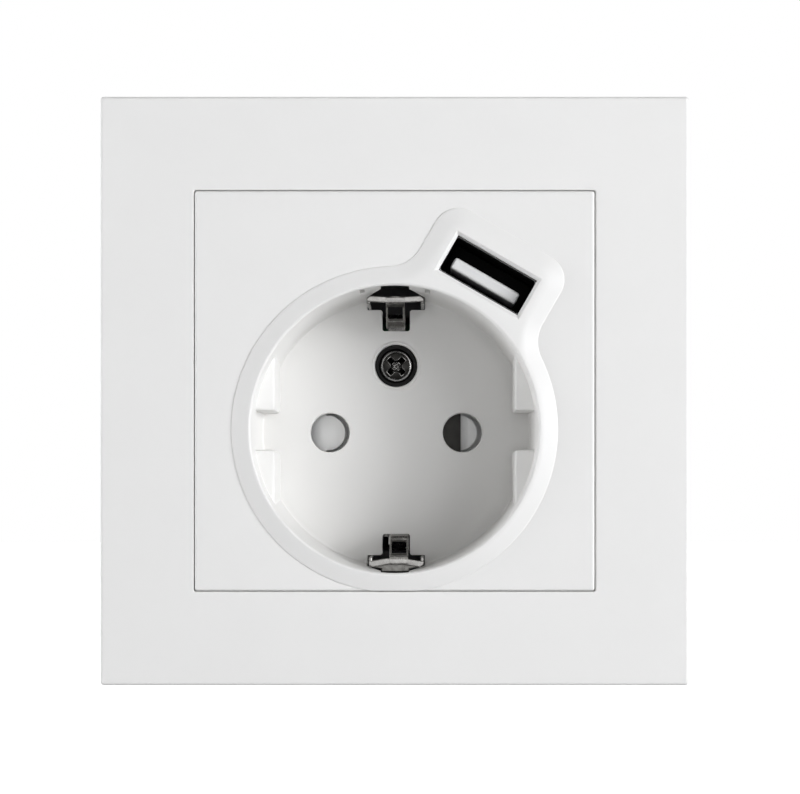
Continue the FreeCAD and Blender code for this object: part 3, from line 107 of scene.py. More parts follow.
# %% Light the socket
LAMP_FAR = 1.1
LAMP_WIDE = 0.55
LAMP_COLOUR = (0.985, 0.995, 1.02)
LAMPS = (("key_right", 60, 5, 9.3), ("key_inner", 40, 5, 3.4), ("front_fill", 0, -2, 1.5),
         ("side_left", -75, 5, 7.7), ("rear_right", 140, 5, 3.0), ("rear_left", -140, 5, 2.2))

def soft_lamp(name, around, above, power):
    """Disc lamp of so many watts; around is measured from the front, above from level."""
    turn, rise = math.radians(around), math.radians(above)
    data = bpy.data.lights.new(name, "AREA")
    data.shape = "DISK"
    data.size = LAMP_WIDE
    data.energy = power
    data.color = LAMP_COLOUR
    lamp = placed(name, data)
    lamp.location = Vector((math.sin(turn) * math.cos(rise), -math.cos(turn) * math.cos(rise),
                            math.sin(rise))) * LAMP_FAR
    lamp.rotation_euler = (-lamp.location).to_track_quat("-Z", "Y").to_euler()


for lamp_values in LAMPS:
    soft_lamp(*lamp_values)
print("lamps", [values[0] for values in LAMPS])

# %% [markdown]
# ## Surroundings
# The background is white to the camera and in reflections, where a strength of 1 is white. To all
# other rays the world is nearly dark, so it hardly lights the socket.

# %% Two small node helpers
def math_node(tree, how, first, second):
    """Math node fed by two sockets."""
    node = tree.nodes.new("ShaderNodeMath")
    node.operation = how
    tree.links.new(first, node.inputs[0])
    tree.links.new(second, node.inputs[1])
    return node.outputs[0]


def range_node(tree, value, start, end, to_start, to_end):
    """Socket whose value is moved from one range to another."""
    node = tree.nodes.new("ShaderNodeMapRange")
    limits = {"From Min": start, "From Max": end, "To Min": to_start, "To Max": to_end}
    for socket, number in limits.items():
        node.inputs[socket].default_value = number
    tree.links.new(value, node.inputs["Value"])
    return node.outputs["Result"]


print("node helpers ready")

# %% [markdown]
# ### The world
# Light Path tells which kind of ray asks for the background. The largest of three answers is 1 for
# camera, glossy and transmission rays, and 0 for rays that carry light.

# %% White surroundings that hardly light the socket
WORLD_GLOW = 0.03
world = bpy.data.worlds.new("studio")
scene.world = world
world.use_nodes = True
tree = world.node_tree
background = tree.nodes["Background"]
background.inputs["Color"].default_value = (1, 1, 1, 1)
rays = tree.nodes.new("ShaderNodeLightPath")
seen = math_node(tree, "MAXIMUM", rays.outputs["Is Camera Ray"], rays.outputs["Is Glossy Ray"])
seen = math_node(tree, "MAXIMUM", seen, rays.outputs["Is Transmission Ray"])
tree.links.new(range_node(tree, seen, 0.0, 1.0, WORLD_GLOW, 1.0), background.inputs["Strength"])
scene.view_settings.view_transform = "Standard"
print("world", WORLD_GLOW, "for light, 1 for the camera")

# %% [markdown]
# ## Floor
# A plain pale floor lies low enough to keep its shadow out of the picture. It glows a little, to the
# camera only, so it meets the white background without a line.

# %% Make the floor
FLOOR_Z = -0.105
FLOOR_HALF = 6.0
FLOOR_LIFT = 0.97
PAPER_TONE, PAPER_ROUGH = 0.8, 0.9
corners = [(x * FLOOR_HALF, y * FLOOR_HALF, FLOOR_Z) for x, y in ((-1, -1), (1, -1), (1, 1), (-1, 1))]
mesh = bpy.data.meshes.new("floor")
mesh.from_pydata(corners, [], [(0, 1, 2, 3)])
floor = placed("floor", mesh)
paper = bpy.data.materials.new("floor_paper")
paper.use_nodes = True
tree = paper.node_tree
shader = tree.nodes["Principled BSDF"]
shader.inputs["Base Color"].default_value = (PAPER_TONE, PAPER_TONE, PAPER_TONE, 1)
shader.inputs["Roughness"].default_value = PAPER_ROUGH
shader.inputs["Emission Color"].default_value = (1, 1, 1, 1)
rays = tree.nodes.new("ShaderNodeLightPath")
lift = range_node(tree, rays.outputs["Is Camera Ray"], 0.0, 1.0, 0.0, FLOOR_LIFT)
tree.links.new(lift, shader.inputs["Emission Strength"])
mesh.materials.append(paper)
print("floor at", FLOOR_Z)

# %% [markdown]
# ## Helpers for solids
# The mouldings are made as a machinist would: solid blanks are joined, and tools are cut from them.
# Every blank is a loft, a skin over rings of equal point count: a prism has two rings, and a turned
# shape has one for each point of its profile.

# %% Make meshes from points
SAME_POINT = 0.0005

def new_piece(name, points, faces):
    """Object from points in millimetres, with every face turned outward."""
    mesh = bpy.data.meshes.new(name)
    mesh.from_pydata([Vector(p) * MM for p in points], [], faces)
    shape = bmesh.new()
    shape.from_mesh(mesh)
    bmesh.ops.remove_doubles(shape, verts=shape.verts, dist=SAME_POINT * MM)
    bmesh.ops.recalc_face_normals(shape, faces=shape.faces)
    shape.to_mesh(mesh)
    shape.free()
    return placed(name, mesh)


def loft(name, rings, ring_shaped=False):
    """Skin over rings of points: closed by a face at each end, or back on itself."""
    count = len(rings[0])
    points = [p for ring in rings for p in ring]
    pairs = list(zip(range(len(rings)), range(1, len(rings))))
    faces = []
    if ring_shaped:
        pairs.append((len(rings) - 1, 0))
    else:
        faces = [tuple(reversed(range(count))), tuple(range(len(points) - count, len(points)))]
    for low, high in pairs:
        for i in range(count):
            j = (i + 1) % count
            faces.append((low * count + i, low * count + j, high * count + j, high * count + i))
    return new_piece(name, points, faces)


def arc(centre, radius, start, end, steps):
    """Points on an arc, both ends included; the angles are in degrees."""
    turns = [math.radians(start + (end - start) * i / steps) for i in range(steps + 1)]
    return [(centre[0] + radius * math.cos(t), centre[1] + radius * math.sin(t)) for t in turns]


print("an arc of 4 steps has", len(arc((0, 0), 1, 0, 90, 4)), "points")

# %% [markdown]
# ### Blanks
# Prism, block and turned shape are short forms of the loft. Corners are rounded in the outline,
# because a bevel would have to find the right edges later.

# %% Make blanks
TURN_STEPS = 192

def prism(name, outline, y0, y1):
    """Outline in X and Z, made solid between two depths."""
    return loft(name, [[(x, y, z) for x, z in outline] for y in (y0, y1)])


def block(name, x0, x1, y0, y1, z0, z1):
    """Box between its limits in X, Y and Z."""
    return prism(name, [(x0, z0), (x1, z0), (x1, z1), (x0, z1)], y0, y1)


def turned(name, profile, x=0.0, z=0.0, steps=TURN_STEPS):
    """Solid turned round a line along Y. The profile is (radius, y), from front to back."""
    turns = [2 * math.pi * i / steps for i in range(steps)]
    circle = [(math.cos(t), math.sin(t)) for t in turns]
    return loft(name, [[(x + r * c, y, z + r * s) for c, s in circle] for r, y in profile])


def round_corner(before, corner, after, radius, steps):
    """Points of the arc that rounds the corner between its two neighbours."""
    here = Vector(corner)
    back, ahead = (Vector(before) - here).normalized(), (Vector(after) - here).normalized()
    half = back.angle(ahead) / 2
    reach = radius / math.tan(half)
    centre = here + (back + ahead).normalized() * (radius / math.sin(half))
    start, end = here + back * reach - centre, here + ahead * reach - centre
    return [centre + start.lerp(end, k / steps).normalized() * radius for k in range(steps + 1)]


def rounded(outline, radius, steps=5):
    """The same outline with every corner rounded to one radius."""
    trios = zip(outline[-1:] + outline[:-1], outline, outline[1:] + outline[:1])
    return [tuple(point) for trio in trios for point in round_corner(*trio, radius, steps)]


def mirrored(half):
    """Whole outline from its right half, which starts and ends off the middle line."""
    left = [(-x, y) for x, y in reversed(half)]
    return left[-1:] + half + left[:-1]


print("a rounded square has", len(rounded([(0, 0), (1, 0), (1, 1), (0, 1)], 0.1)), "points")

# %% [markdown]
# ### Cutting and rounding
# The exact Boolean modifier cuts, and a Bevel modifier rounds what is still a plain blank. Each is
# settled at once, so the next step works on real faces.

# %% Cut, join and round
def settle(piece):
    """Replace the mesh by what its modifiers make of it."""
    depsgraph = bpy.context.evaluated_depsgraph_get()
    piece.data = bpy.data.meshes.new_from_object(piece.evaluated_get(depsgraph))
    piece.modifiers.clear()


def tell(state, piece):
    """Print how many faces a piece has by now."""
    print(state, len(piece.data.polygons), "faces")


def work(piece, how, other):
    """Join, cut or keep the overlap with another solid, which is used up."""
    tool = piece.modifiers.new(how.lower(), "BOOLEAN")
    tool.operation = how
    tool.solver = "EXACT"
    tool.object = other
    settle(piece)
    bpy.data.objects.remove(other)


def cut(piece, *tools):
    """Cut solids out of a piece, one after the other."""
    for tool in tools:
        work(piece, "DIFFERENCE", tool)


def ease_edges(piece, width, steps=3):
    """Round all sharp edges of a blank before it is joined to another."""
    bevel = piece.modifiers.new("edges", "BEVEL")
    bevel.width = width * MM
    bevel.segments = steps
    bevel.limit_method = "ANGLE"
    settle(piece)
    return piece


print("tools ready")

# %% [markdown]
# ### Shading and finishing
# A Boolean can leave faces without any area, so each piece is cleaned before it is shaded. A
# weighted normal keeps flat faces flat beside rounded edges. Last, the piece gets its finish, the
# nodes that it replaces are hidden, and it is attached to the body that it moves with.

# %% Clean, shade and dress
SLIVER = 0.001
FINISHES = {}

def drop_slivers(piece):
    """Take out the faces without area that a Boolean or a clamped bevel leaves."""
    shape = bmesh.new()
    shape.from_mesh(piece.data)
    bmesh.ops.remove_doubles(shape, verts=shape.verts, dist=SLIVER * MM)
    bmesh.ops.dissolve_degenerate(shape, dist=SLIVER * MM, edges=shape.edges)
    shape.to_mesh(piece.data)
    shape.free()


def smooth_shade(piece, angle=30):
    """Smooth shading that stops at edges, with flat faces kept flat."""
    drop_slivers(piece)
    piece.data.shade_smooth()
    piece.data.set_sharp_from_angle(angle=math.radians(angle))
    weigh = piece.modifiers.new("flat_faces_first", "WEIGHTED_NORMAL")
    weigh.keep_sharp = True
    settle(piece)


def dress(piece, slot, body, *stands_for, finish=None):
    """Give a piece its finish, named by finish, else by slot; hide the nodes that it stands for, and
    attach it to its body.
    """
    piece.data.materials.clear()
    piece.data.materials.append(FINISHES[finish or slot])
    if stands_for:
        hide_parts(*stands_for)
    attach(piece, body)
    tell(piece.name, piece)


def accent(piece, finish, chosen):
    """Second finish on the faces whose centre passes a test."""
    piece.data.materials.append(FINISHES[finish])
    for face in piece.data.polygons:
        corners = [piece.data.vertices[v].co for v in face.vertices]
        face.material_index = int(chosen(sum(corners, Vector()) / len(corners) / MM))
    print(finish, "on", sum(face.material_index for face in piece.data.polygons), "faces")


print("helpers ready, slivers under", SLIVER, "mm go")

# %% [markdown]
# ## Finishes
# No finish is one flat colour. Each has a fine grain that drives a small bump, a broad cloud that
# shifts colour and gloss by a few percent, and a shader bevel that lets the edges of thin parts
# catch light. All are read in object space, so a grain of 0.2 mm stays 0.2 mm. Rolled or drawn
# metal stretches the grain along the way it was worked.

# %% Noise and colour
def noise_node(tree, vector, size_mm, detail):
    """Noise with features of about one size."""
    node = tree.nodes.new("ShaderNodeTexNoise")
    node.inputs["Scale"].default_value = 1 / (size_mm * MM)
    node.inputs["Detail"].default_value = detail
    tree.links.new(vector, node.inputs["Vector"])
    return node.outputs["Fac"]


def mix_node(tree, factor, low, high):
    """Colour between low and high; low is a colour or a socket."""
    node = tree.nodes.new("ShaderNodeMix")
    node.data_type = "RGBA"
    if isinstance(low, tuple):
        node.inputs["A"].default_value = (*low, 1)
    else:
        tree.links.new(low, node.inputs["A"])
    node.inputs["B"].default_value = (*high, 1)
    tree.links.new(factor, node.inputs["Factor"])
    return node.outputs["Result"]


print("noise and colour helpers ready")

# %% [markdown]
# ### Bright edges, painted highlight and wear
# At an edge, the bevelled normal turns away from the face's own, so the dot product of the two
# drops. This drop is stretched into a share of a brighter colour: a painted highlight along the
# edges, and on metal partly wear as well. The clouds break it up into short uneven stretches.

# %% Paint highlights on the edges
EDGE_STARTS, EDGE_FULL = 0.995, 0.93
PATCH_NONE, PATCH_FULL = 0.42, 0.56

def worn_and_highlit_edges(tree, colour, edge, cloud, worn, patchy):
    """The colour with a painted edge highlight, partly wear, laid over it."""
    flat = tree.nodes.new("ShaderNodeNewGeometry")
    turn = tree.nodes.new("ShaderNodeVectorMath")
    turn.operation = "DOT_PRODUCT"
    tree.links.new(edge.outputs["Normal"], turn.inputs[0])
    tree.links.new(flat.outputs["Normal"], turn.inputs[1])
    share = range_node(tree, turn.outputs["Value"], EDGE_STARTS, EDGE_FULL, 0.0, 1.0)
    broken = range_node(tree, cloud, PATCH_NONE, PATCH_FULL, 1 - patchy, 1.0)
    return mix_node(tree, math_node(tree, "MULTIPLY", share, broken), colour, worn)


print("an edge shows where the dot product is under", EDGE_STARTS)

# %% [markdown]
# ### One recipe for all finishes
# All finishes share one node tree and differ in their numbers only. Each is kept under its name.

# %% Build a finish
GRAIN_DETAIL, CLOUD_DETAIL = 4, 2
BEVEL_SAMPLES = 4

def new_finish(name, light, dark, roughness, metallic=0.0, grain_mm=0.3, depth_mm=0.002,
               stretch=(1, 1, 1), swing=0.06, cloud_mm=6.0, round_mm=0.06, shine=0.5, worn=None,
               patchy=0.0):
    """Shader with grain, clouds and soft edges. Colours run from light to dark with the clouds."""
    material = bpy.data.materials.new(name)
    material.use_nodes = True
    tree = material.node_tree
    shader = tree.nodes["Principled BSDF"]
    shader.inputs["Metallic"].default_value = metallic
    shader.inputs["Specular IOR Level"].default_value = shine
    place = tree.nodes.new("ShaderNodeTexCoord")
    aim = tree.nodes.new("ShaderNodeMapping")
    aim.inputs["Scale"].default_value = stretch
    tree.links.new(place.outputs["Object"], aim.inputs["Vector"])
    grain = noise_node(tree, aim.outputs["Vector"], grain_mm, GRAIN_DETAIL)
    cloud = noise_node(tree, place.outputs["Object"], cloud_mm, CLOUD_DETAIL)
    both = math_node(tree, "ADD", grain, cloud)
    rough = range_node(tree, both, 0.0, 2.0, roughness - swing, roughness + swing)
    tree.links.new(rough, shader.inputs["Roughness"])
    edge = tree.nodes.new("ShaderNodeBevel")
    edge.samples = BEVEL_SAMPLES
    edge.inputs["Radius"].default_value = round_mm * MM
    bump = tree.nodes.new("ShaderNodeBump")
    bump.inputs["Distance"].default_value = depth_mm * MM
    tree.links.new(grain, bump.inputs["Height"])
    tree.links.new(edge.outputs["Normal"], bump.inputs["Normal"])
    tree.links.new(bump.outputs["Normal"], shader.inputs["Normal"])
    colour = mix_node(tree, cloud, dark, light)
    # Painted highlight along the edges, partly also wear on metal.
    if worn:
        colour = worn_and_highlit_edges(tree, colour, edge, cloud, worn, patchy)
    tree.links.new(colour, shader.inputs["Base Color"])
    FINISHES[name] = material


print("finish recipe ready")

# %% [markdown]
# ### Plastics
# The visible mouldings are a plain white with a satin surface and a very fine grain, because their
# mould was polished. The hidden ones are dark and sparked, with a coarser grain.

# %% Plastic finishes
# The white's brighter edge colour is a painted highlight along every edge.
new_finish("white_plastic", (0.822, 0.815, 0.796), (0.802, 0.795, 0.776), 0.42, grain_mm=0.12,
           depth_mm=0.0005, swing=0.04, cloud_mm=9.0, round_mm=0.16, shine=0.35, worn=(0.91, 0.9, 0.88))
new_finish("dark_plastic", (0.016, 0.0155, 0.015), (0.008, 0.008, 0.008), 0.6, grain_mm=0.25,
           depth_mm=0.012, shine=0.12)
new_finish("housing_black", (0.042, 0.042, 0.044), (0.022, 0.022, 0.024), 0.5, grain_mm=0.5,
           depth_mm=0.05, swing=0.1, cloud_mm=7.0, round_mm=0.2, shine=0.45, worn=(0.09, 0.09, 0.092))
# Painted shade: near-black block behind the USB tongue, for the dark depth of the port.
new_finish("port_black", (0.006, 0.006, 0.006), (0.003, 0.003, 0.003), 0.6, depth_mm=0.01, shine=0.06)
new_finish("shutter_plastic", (0.84, 0.84, 0.83), (0.80, 0.80, 0.79), 0.35, grain_mm=0.15,
           depth_mm=0.001)
# Painted shade: dark grey floor of the shutter's trough.
new_finish("trough_painted_shade", (0.135, 0.13, 0.12), (0.075, 0.072, 0.066), 0.5, grain_mm=0.2, depth_mm=0.004,
           cloud_mm=2.0, shine=0.2)
new_finish("button_plastic", (0.78, 0.28, 0.05), (0.70, 0.23, 0.04), 0.45, grain_mm=0.2, depth_mm=0.004)
new_finish("tongue_plastic", (0.83, 0.83, 0.82), (0.79, 0.79, 0.78), 0.4, grain_mm=0.12, depth_mm=0.001)
new_finish("chip_black", (0.024, 0.024, 0.026), (0.016, 0.016, 0.018), 0.5, grain_mm=0.08,
           depth_mm=0.004, cloud_mm=2.0)
new_finish("ferrite", (0.09, 0.09, 0.10), (0.06, 0.06, 0.07), 0.62, depth_mm=0.02, cloud_mm=3.0)
new_finish("winding_tape", (0.80, 0.58, 0.10), (0.70, 0.48, 0.07), 0.3, grain_mm=0.5, depth_mm=0.02,
           stretch=(0.1, 6, 0.1))
new_finish("resistor_coat", (0.14, 0.36, 0.22), (0.10, 0.30, 0.17), 0.4, depth_mm=0.01)
new_finish("board_green", (0.035, 0.22, 0.09), (0.022, 0.16, 0.065), 0.36, grain_mm=0.6, depth_mm=0.01,
           stretch=(1, 1, 0.25), cloud_mm=1.6)
print("plastics ready")

# %% [markdown]
# ### Metals
# Sheet metal shows faint lines along the way it was rolled, and its plating dulls unevenly, so the
# clouds shift its gloss more than a plastic's. The strap and the screw look dark in the photograph,
# because they mirror the inside of a deep recess. That dark reflection is painted into their colour,
# which is far darker than real plating.

# %% Metal finishes
def new_metal(name, light, dark, roughness, **more):
    """Finish that is all metal."""
    new_finish(name, light, dark, roughness, metallic=1.0, **more)


new_metal("zinc_steel", (0.075, 0.073, 0.07), (0.035, 0.034, 0.033), 0.22, grain_mm=0.25,
          depth_mm=0.004, swing=0.08, cloud_mm=0.7, round_mm=0.1, worn=(0.62, 0.61, 0.59))
# Painted reflection: nearly black, for the dark recess that the screw head mirrors.
new_metal("dark_reflection_steel", (0.03, 0.029, 0.027), (0.008, 0.008, 0.0075), 0.24, grain_mm=0.25,
          depth_mm=0.006, swing=0.08, cloud_mm=0.6, round_mm=0.18, worn=(0.8, 0.79, 0.77), patchy=0.9)
# Painted glint: near-white steel for the rim of the screw head.
new_metal("rim_glint_steel", (0.9, 0.89, 0.87), (0.25, 0.245, 0.235), 0.2, grain_mm=0.2, depth_mm=0.006,
          cloud_mm=0.5, round_mm=0.15)
new_metal("ring_steel", (0.62, 0.63, 0.64), (0.50, 0.51, 0.52), 0.36, grain_mm=0.4, depth_mm=0.004,
          swing=0.12, cloud_mm=4.0)
new_metal("spring_steel", (0.56, 0.57, 0.59), (0.48, 0.49, 0.51), 0.28, stretch=(4, 0.2, 1))
# Painted reflection: darker than real nickel, for the dark recess that the strap mirrors.
new_metal("nickel_strip", (0.32, 0.315, 0.30), (0.12, 0.115, 0.11), 0.26, depth_mm=0.003,
          stretch=(5, 0.3, 0.3), swing=0.1, cloud_mm=0.9, round_mm=0.1, worn=(0.42, 0.41, 0.395),
          patchy=0.6)
# Painted shade and reflection for the strap's lip and steep faces.
new_metal("painted_shade_strip", (0.24, 0.235, 0.22), (0.05, 0.048, 0.045), 0.3, depth_mm=0.004, swing=0.1,
          cloud_mm=0.6, round_mm=0.08)
# Painted shade: nearly black, so the port's inside reads dark; its bright edge colour paints the thin
# line at the opening.
new_metal("shell_steel", (0.07, 0.07, 0.07), (0.035, 0.035, 0.035), 0.3, stretch=(1, 0.2, 1),
          cloud_mm=2.0, worn=(0.75, 0.75, 0.74))
new_metal("contact_brass", (0.78, 0.57, 0.24), (0.68, 0.48, 0.19), 0.3, depth_mm=0.003,
          stretch=(4, 0.3, 1), cloud_mm=2.5)
new_metal("gold_contact", (0.50, 0.36, 0.14), (0.42, 0.29, 0.10), 0.25, grain_mm=0.1, depth_mm=0.001,
          cloud_mm=1.0)
new_metal("can_aluminium", (0.74, 0.75, 0.77), (0.66, 0.67, 0.69), 0.3, stretch=(1, 0.1, 1))
print("metals ready")

# %% [markdown]
# ## The white moulding
# One moulding carries nearly all that the photograph shows: the square plate, the collar with its
# USB boss, and the recess with its ribs. Its edges are exact circles and tangent lines, so it is
# drawn with arcs and tangents, and the holes are cut afterwards. All depths count from the wall's
# face.

# %% Depths and the recess centre
PLATE_FRONT = -10.2
COLLAR_FRONT = -11.2
LEDGE_FRONT = -8.0
FLOOR_FRONT = 6.3
FLOOR_BACK = 8.3
WELL_BACK = 10.8
PIT_Z = -5.3
RIM_R = 19.75
FOOT_R = 19.25
POT_R = 21.25
PLATE_HALF = 27.5
TILT = math.radians(30)
USB_U = 0.5

def tilted(x, z):
    """Turn a point that is drawn upright over the recess into the USB port's slant."""
    return (x * math.cos(TILT) + z * math.sin(TILT), z * math.cos(TILT) - x * math.sin(TILT) + PIT_Z)


print("the boss points to", [round(v, 2) for v in tilted(USB_U, 30)])

# %% [markdown]
# ### Collar outline
# The collar is a ring with a boss on top, drawn upright and then tilted. The fillet between them
# touches both: its centre lies at the ring's radius plus its own from the middle, so one square
# root gives its height. With an inset, the same function gives every ring of the slope.

# %% Draw the collar
RING_R, BOSS_HALF, BOSS_TOP = 22.4, 9.85, 31.2
BOSS_CORNER, CORNER_GONE, NECK_FILLET = 3.5, 5.8, 5.0

def collar_outline(inset):
    """Ring and USB boss in one outline, moved in by inset, as points in X and Z."""
    ring, half, top = RING_R - inset, BOSS_HALF - inset, BOSS_TOP - inset
    corner, fillet = BOSS_CORNER * (1 - inset / CORNER_GONE), NECK_FILLET + inset
    points = []
    ring_ends = []
    for side in (1, -1):
        edge = USB_U + side * half
        middle = edge + side * fillet
        rise = math.sqrt((ring + fillet) ** 2 - middle ** 2)
        meets = math.degrees(math.atan2(-rise, -middle))
        side_on = -180 if side > 0 else 0
        foot = arc((middle, rise), fillet, meets, side_on, 14)
        knee = arc((edge - side * corner, top - corner), corner, 0 if side > 0 else 180, 90, 12)
        line = [(edge, rise + (top - corner - rise) * k / 6) for k in range(1, 6)]
        flank = foot + line + knee
        points += flank if side > 0 else flank[::-1]
        ring_ends.append(math.degrees(math.atan2(rise, middle)))
        if side > 0:
            left_knee = USB_U - half + corner
            points += [(edge - corner + (left_knee - edge + corner) * k / 8, top) for k in range(1, 8)]
    points += arc((0, 0), ring, ring_ends[1], ring_ends[0] + 360, 180)[1:-1]
    return [tilted(x, z) for x, z in points]


print("collar outline of", len(collar_outline(0)), "points")

# %% [markdown]
# ### Collar profile
# From its foot, the collar steps up by 0.15 mm, which draws the fine line round it. Then it climbs
# in a straight slope, and bends softly into the flat top beside the USB opening.

# %% Join plate, collar and pot
SLOPE_INSET, SLOPE_RISE = 1.7, 0.778
BEND_INSET, BEND_CLIMB, BEND_FADE = 1.24, 0.454, 0.232

def collar_levels():
    """Pairs of inset and rise above the plate, from the foot to the flat top."""
    slope = [(0.0, 0.0), (0.0, 0.13), (0.05, 0.17), (SLOPE_INSET, SLOPE_RISE)]
    bend = [(SLOPE_INSET + BEND_INSET * t, SLOPE_RISE + BEND_CLIMB * t - BEND_FADE * t * t)
            for t in (0.2, 0.4, 0.6, 0.8, 1.0)]
    return slope + bend


plate = block("socket_moulding", -PLATE_HALF, PLATE_HALF, PLATE_FRONT, LEDGE_FRONT,
              -PLATE_HALF, PLATE_HALF)
ease_edges(plate, 0.35)
SUNK = 1.2
levels = [(0.0, -SUNK)] + collar_levels()
rings = [[(x, PLATE_FRONT - rise, z) for x, z in collar_outline(inset)] for inset, rise in levels]
collar = loft("collar", rings)
TRIM_HALF = PLATE_HALF - 0.02
work(collar, "INTERSECT", block("trim", -TRIM_HALF, TRIM_HALF, COLLAR_FRONT - 1, LEDGE_FRONT,
                                -TRIM_HALF, TRIM_HALF))
work(plate, "UNION", collar)
work(plate, "UNION", turned("pot", [(POT_R, PLATE_FRONT + 1), (POT_R, FLOOR_BACK)], z=PIT_Z))
tell("plate and collar", plate)

# %% [markdown]
# ### Recess and ribs
# The recess is a turned tool with a rounded rim and foot. The ribs at its left and right are
# rounded bars, clipped to a cylinder so that they end inside the wall. They go in after the recess
# is cut, because they stand inside it.

# %% Turn the recess and set the ribs
RIM_ROUND = 0.5
FOOT_ROUND = 0.3
rim = arc((RIM_R + RIM_ROUND, COLLAR_FRONT + RIM_ROUND), RIM_ROUND, 270, 180, 6)
foot = arc((FOOT_R - FOOT_ROUND, FLOOR_FRONT - FOOT_ROUND), FOOT_ROUND, 0, 90, 6)
recess = turned("recess", [(RIM_R + RIM_ROUND, COLLAR_FRONT - 1)] + rim + foot, z=PIT_Z)
cut(plate, recess)

RIB_FRONT = -6.2
RIB_IN = 16.65
RIB_NOTCH = 2.7
RIB_FAR = 12.1
WALL_MID = 20.5
for side in (1, -1):
    for end in (1, -1):
        x0, x1 = sorted((side * RIB_IN, side * (WALL_MID + 1)))
        z0, z1 = sorted((end * RIB_NOTCH, end * RIB_FAR))
        rib = block("rib", x0, x1, RIB_FRONT, FLOOR_BACK - 0.3, PIT_Z + z0, PIT_Z + z1)
        ease_edges(rib, 0.5, 2)
        within = turned("within", [(WALL_MID, RIB_FRONT - 1), (WALL_MID, FLOOR_BACK)], z=PIT_Z)
        work(rib, "INTERSECT", within)
        work(plate, "UNION", rib)
tell("with recess and ribs", plate)

# %% [markdown]
# ### Holes in the floor
# Two pin holes and the screw's well go through the floor, and the well has a boss behind it. Each
# pin hole has a small lead-in, and the well a low raised lip, which show as thin bright lines. The
# profiles are pairs of radius and depth.

# %% Cut the floor
SCREW_Z = PIT_Z + 9.6
PIN_X = 9.5
WELL_STEPS = 64
boss = [(4.25, FLOOR_BACK - 1), (4.25, WELL_BACK)]
work(plate, "UNION", turned("well_boss", boss, z=SCREW_Z, steps=WELL_STEPS))
lip = [(3.32, FLOOR_FRONT - 0.13), (3.45, FLOOR_FRONT - 0.08), (3.52, FLOOR_FRONT + 0.2)]
work(plate, "UNION", turned("well_lip", lip, z=SCREW_Z, steps=WELL_STEPS))
well = [(3.25, FLOOR_FRONT - 1), (3.2, FLOOR_FRONT - 0.13), (3.05, FLOOR_FRONT + 0.05), (3.05, 9.4),
        (1.7, 9.4), (1.7, WELL_BACK + 1)]
cut(plate, turned("well", well, z=SCREW_Z, steps=WELL_STEPS))
hole = [(3.1, FLOOR_FRONT - 1), (3.0, FLOOR_FRONT), (2.86, FLOOR_FRONT + 0.08),
        (2.8, FLOOR_FRONT + 0.22), (2.8, FLOOR_BACK + 1)]
for side in (1, -1):
    cut(plate, turned("pin_hole", hole, x=side * PIN_X, z=PIT_Z, steps=WELL_STEPS))
tell("with its well and pin holes", plate)

# %% [markdown]
# ### Slots in the floor
# Each earth clip comes through a T-shaped slot: the stem is for its arm, the bar for its wings. The
# outline is drawn once and turned half round for the lower one.

# %% Cut the T-shaped slots
SLOT_STEM = 1.975
SLOT_WIDE = 4.1
SLOT_IN = 14.55
SLOT_STEP = 17.6
SLOT_OUT = 21.45
t_shape = mirrored([(SLOT_STEM, SLOT_IN), (SLOT_STEM, SLOT_STEP), (SLOT_WIDE, SLOT_STEP),
                    (SLOT_WIDE, SLOT_OUT)])
for end in (1, -1):
    outline = [(x * end, z * end + PIT_Z) for x, z in rounded(t_shape, 0.35)]
    cut(plate, prism("slot", outline, FLOOR_FRONT - 1, FLOOR_BACK + 1))
tell("with its holes", plate)

# %% [markdown]
# ### Slots in the wall
# Above each T-shaped slot, the recess wall is open too, so that arm and wings can spring outward.
# Seen from the front, the opening starts as a narrow neck under the rim and then flares. The
# photograph shows two small nicks beside the upper clip.

# %% Cut the wall
NECK_TOP = COLLAR_FRONT + 0.8
NECK_END = NECK_TOP + 3.4
FLARE_END = NECK_END + 8.0
SKIN_BACK = COLLAR_FRONT + 2.0
flare = mirrored([(SLOT_STEM, NECK_TOP), (SLOT_STEM, NECK_END), (SLOT_WIDE, FLARE_END),
                  (SLOT_WIDE, FLOOR_BACK + 1)])
UPPER_DEPTH, LOWER_DEPTH = POT_R - 0.18, RIM_R + 0.3
for end, depth in ((1, UPPER_DEPTH), (-1, LOWER_DEPTH)):
    near, far = PIT_Z + end * SLOT_STEP, PIT_Z + end * depth
    z0, z1 = sorted((near, PIT_Z + end * (depth + 0.1)))
    cut(plate, loft("flare", [[(x, y, z) for x, y in flare] for z in (near, far)]),
        block("arm_room", -SLOT_STEM, SLOT_STEM, SKIN_BACK, FLOOR_BACK, z0, z1),
        block("wing_room", -SLOT_WIDE, SLOT_WIDE, FLARE_END, FLOOR_BACK + 1, z0, z1))
NICK_NEAR, NICK_FAR, NICK_BACK, NICK_LOW, NICK_HIGH = 4.2, 4.85, -5.0, 19.0, 19.55
for side in (1, -1):
    x0, x1 = sorted((side * NICK_NEAR, side * NICK_FAR))
    cut(plate, block("nick", x0, x1, NECK_TOP, NICK_BACK, PIT_Z + NICK_LOW, PIT_Z + NICK_HIGH))
tell("with its wall slots", plate)

# %% [markdown]
# ### USB opening
# The opening is a plain rectangle with a narrow chamfer all round, which catches light on its left
# and lower sides. The u axis runs along the slanted opening, and v across it.

# %% Cut the USB opening
USB_V = 24.73

def slanted(middle_u, half_u, v0, v1):
    """Corners of a rectangle in the port's slant."""
    u0, u1 = middle_u - half_u, middle_u + half_u
    return [tilted(u, v) for u, v in ((u0, v0), (u1, v0), (u1, v1), (u0, v1))]


def slanted_box(half_u, half_v, middle_v=USB_V):
    """Such a rectangle round the port's own middle."""
    return slanted(USB_U, half_u, middle_v - half_v, middle_v + half_v)


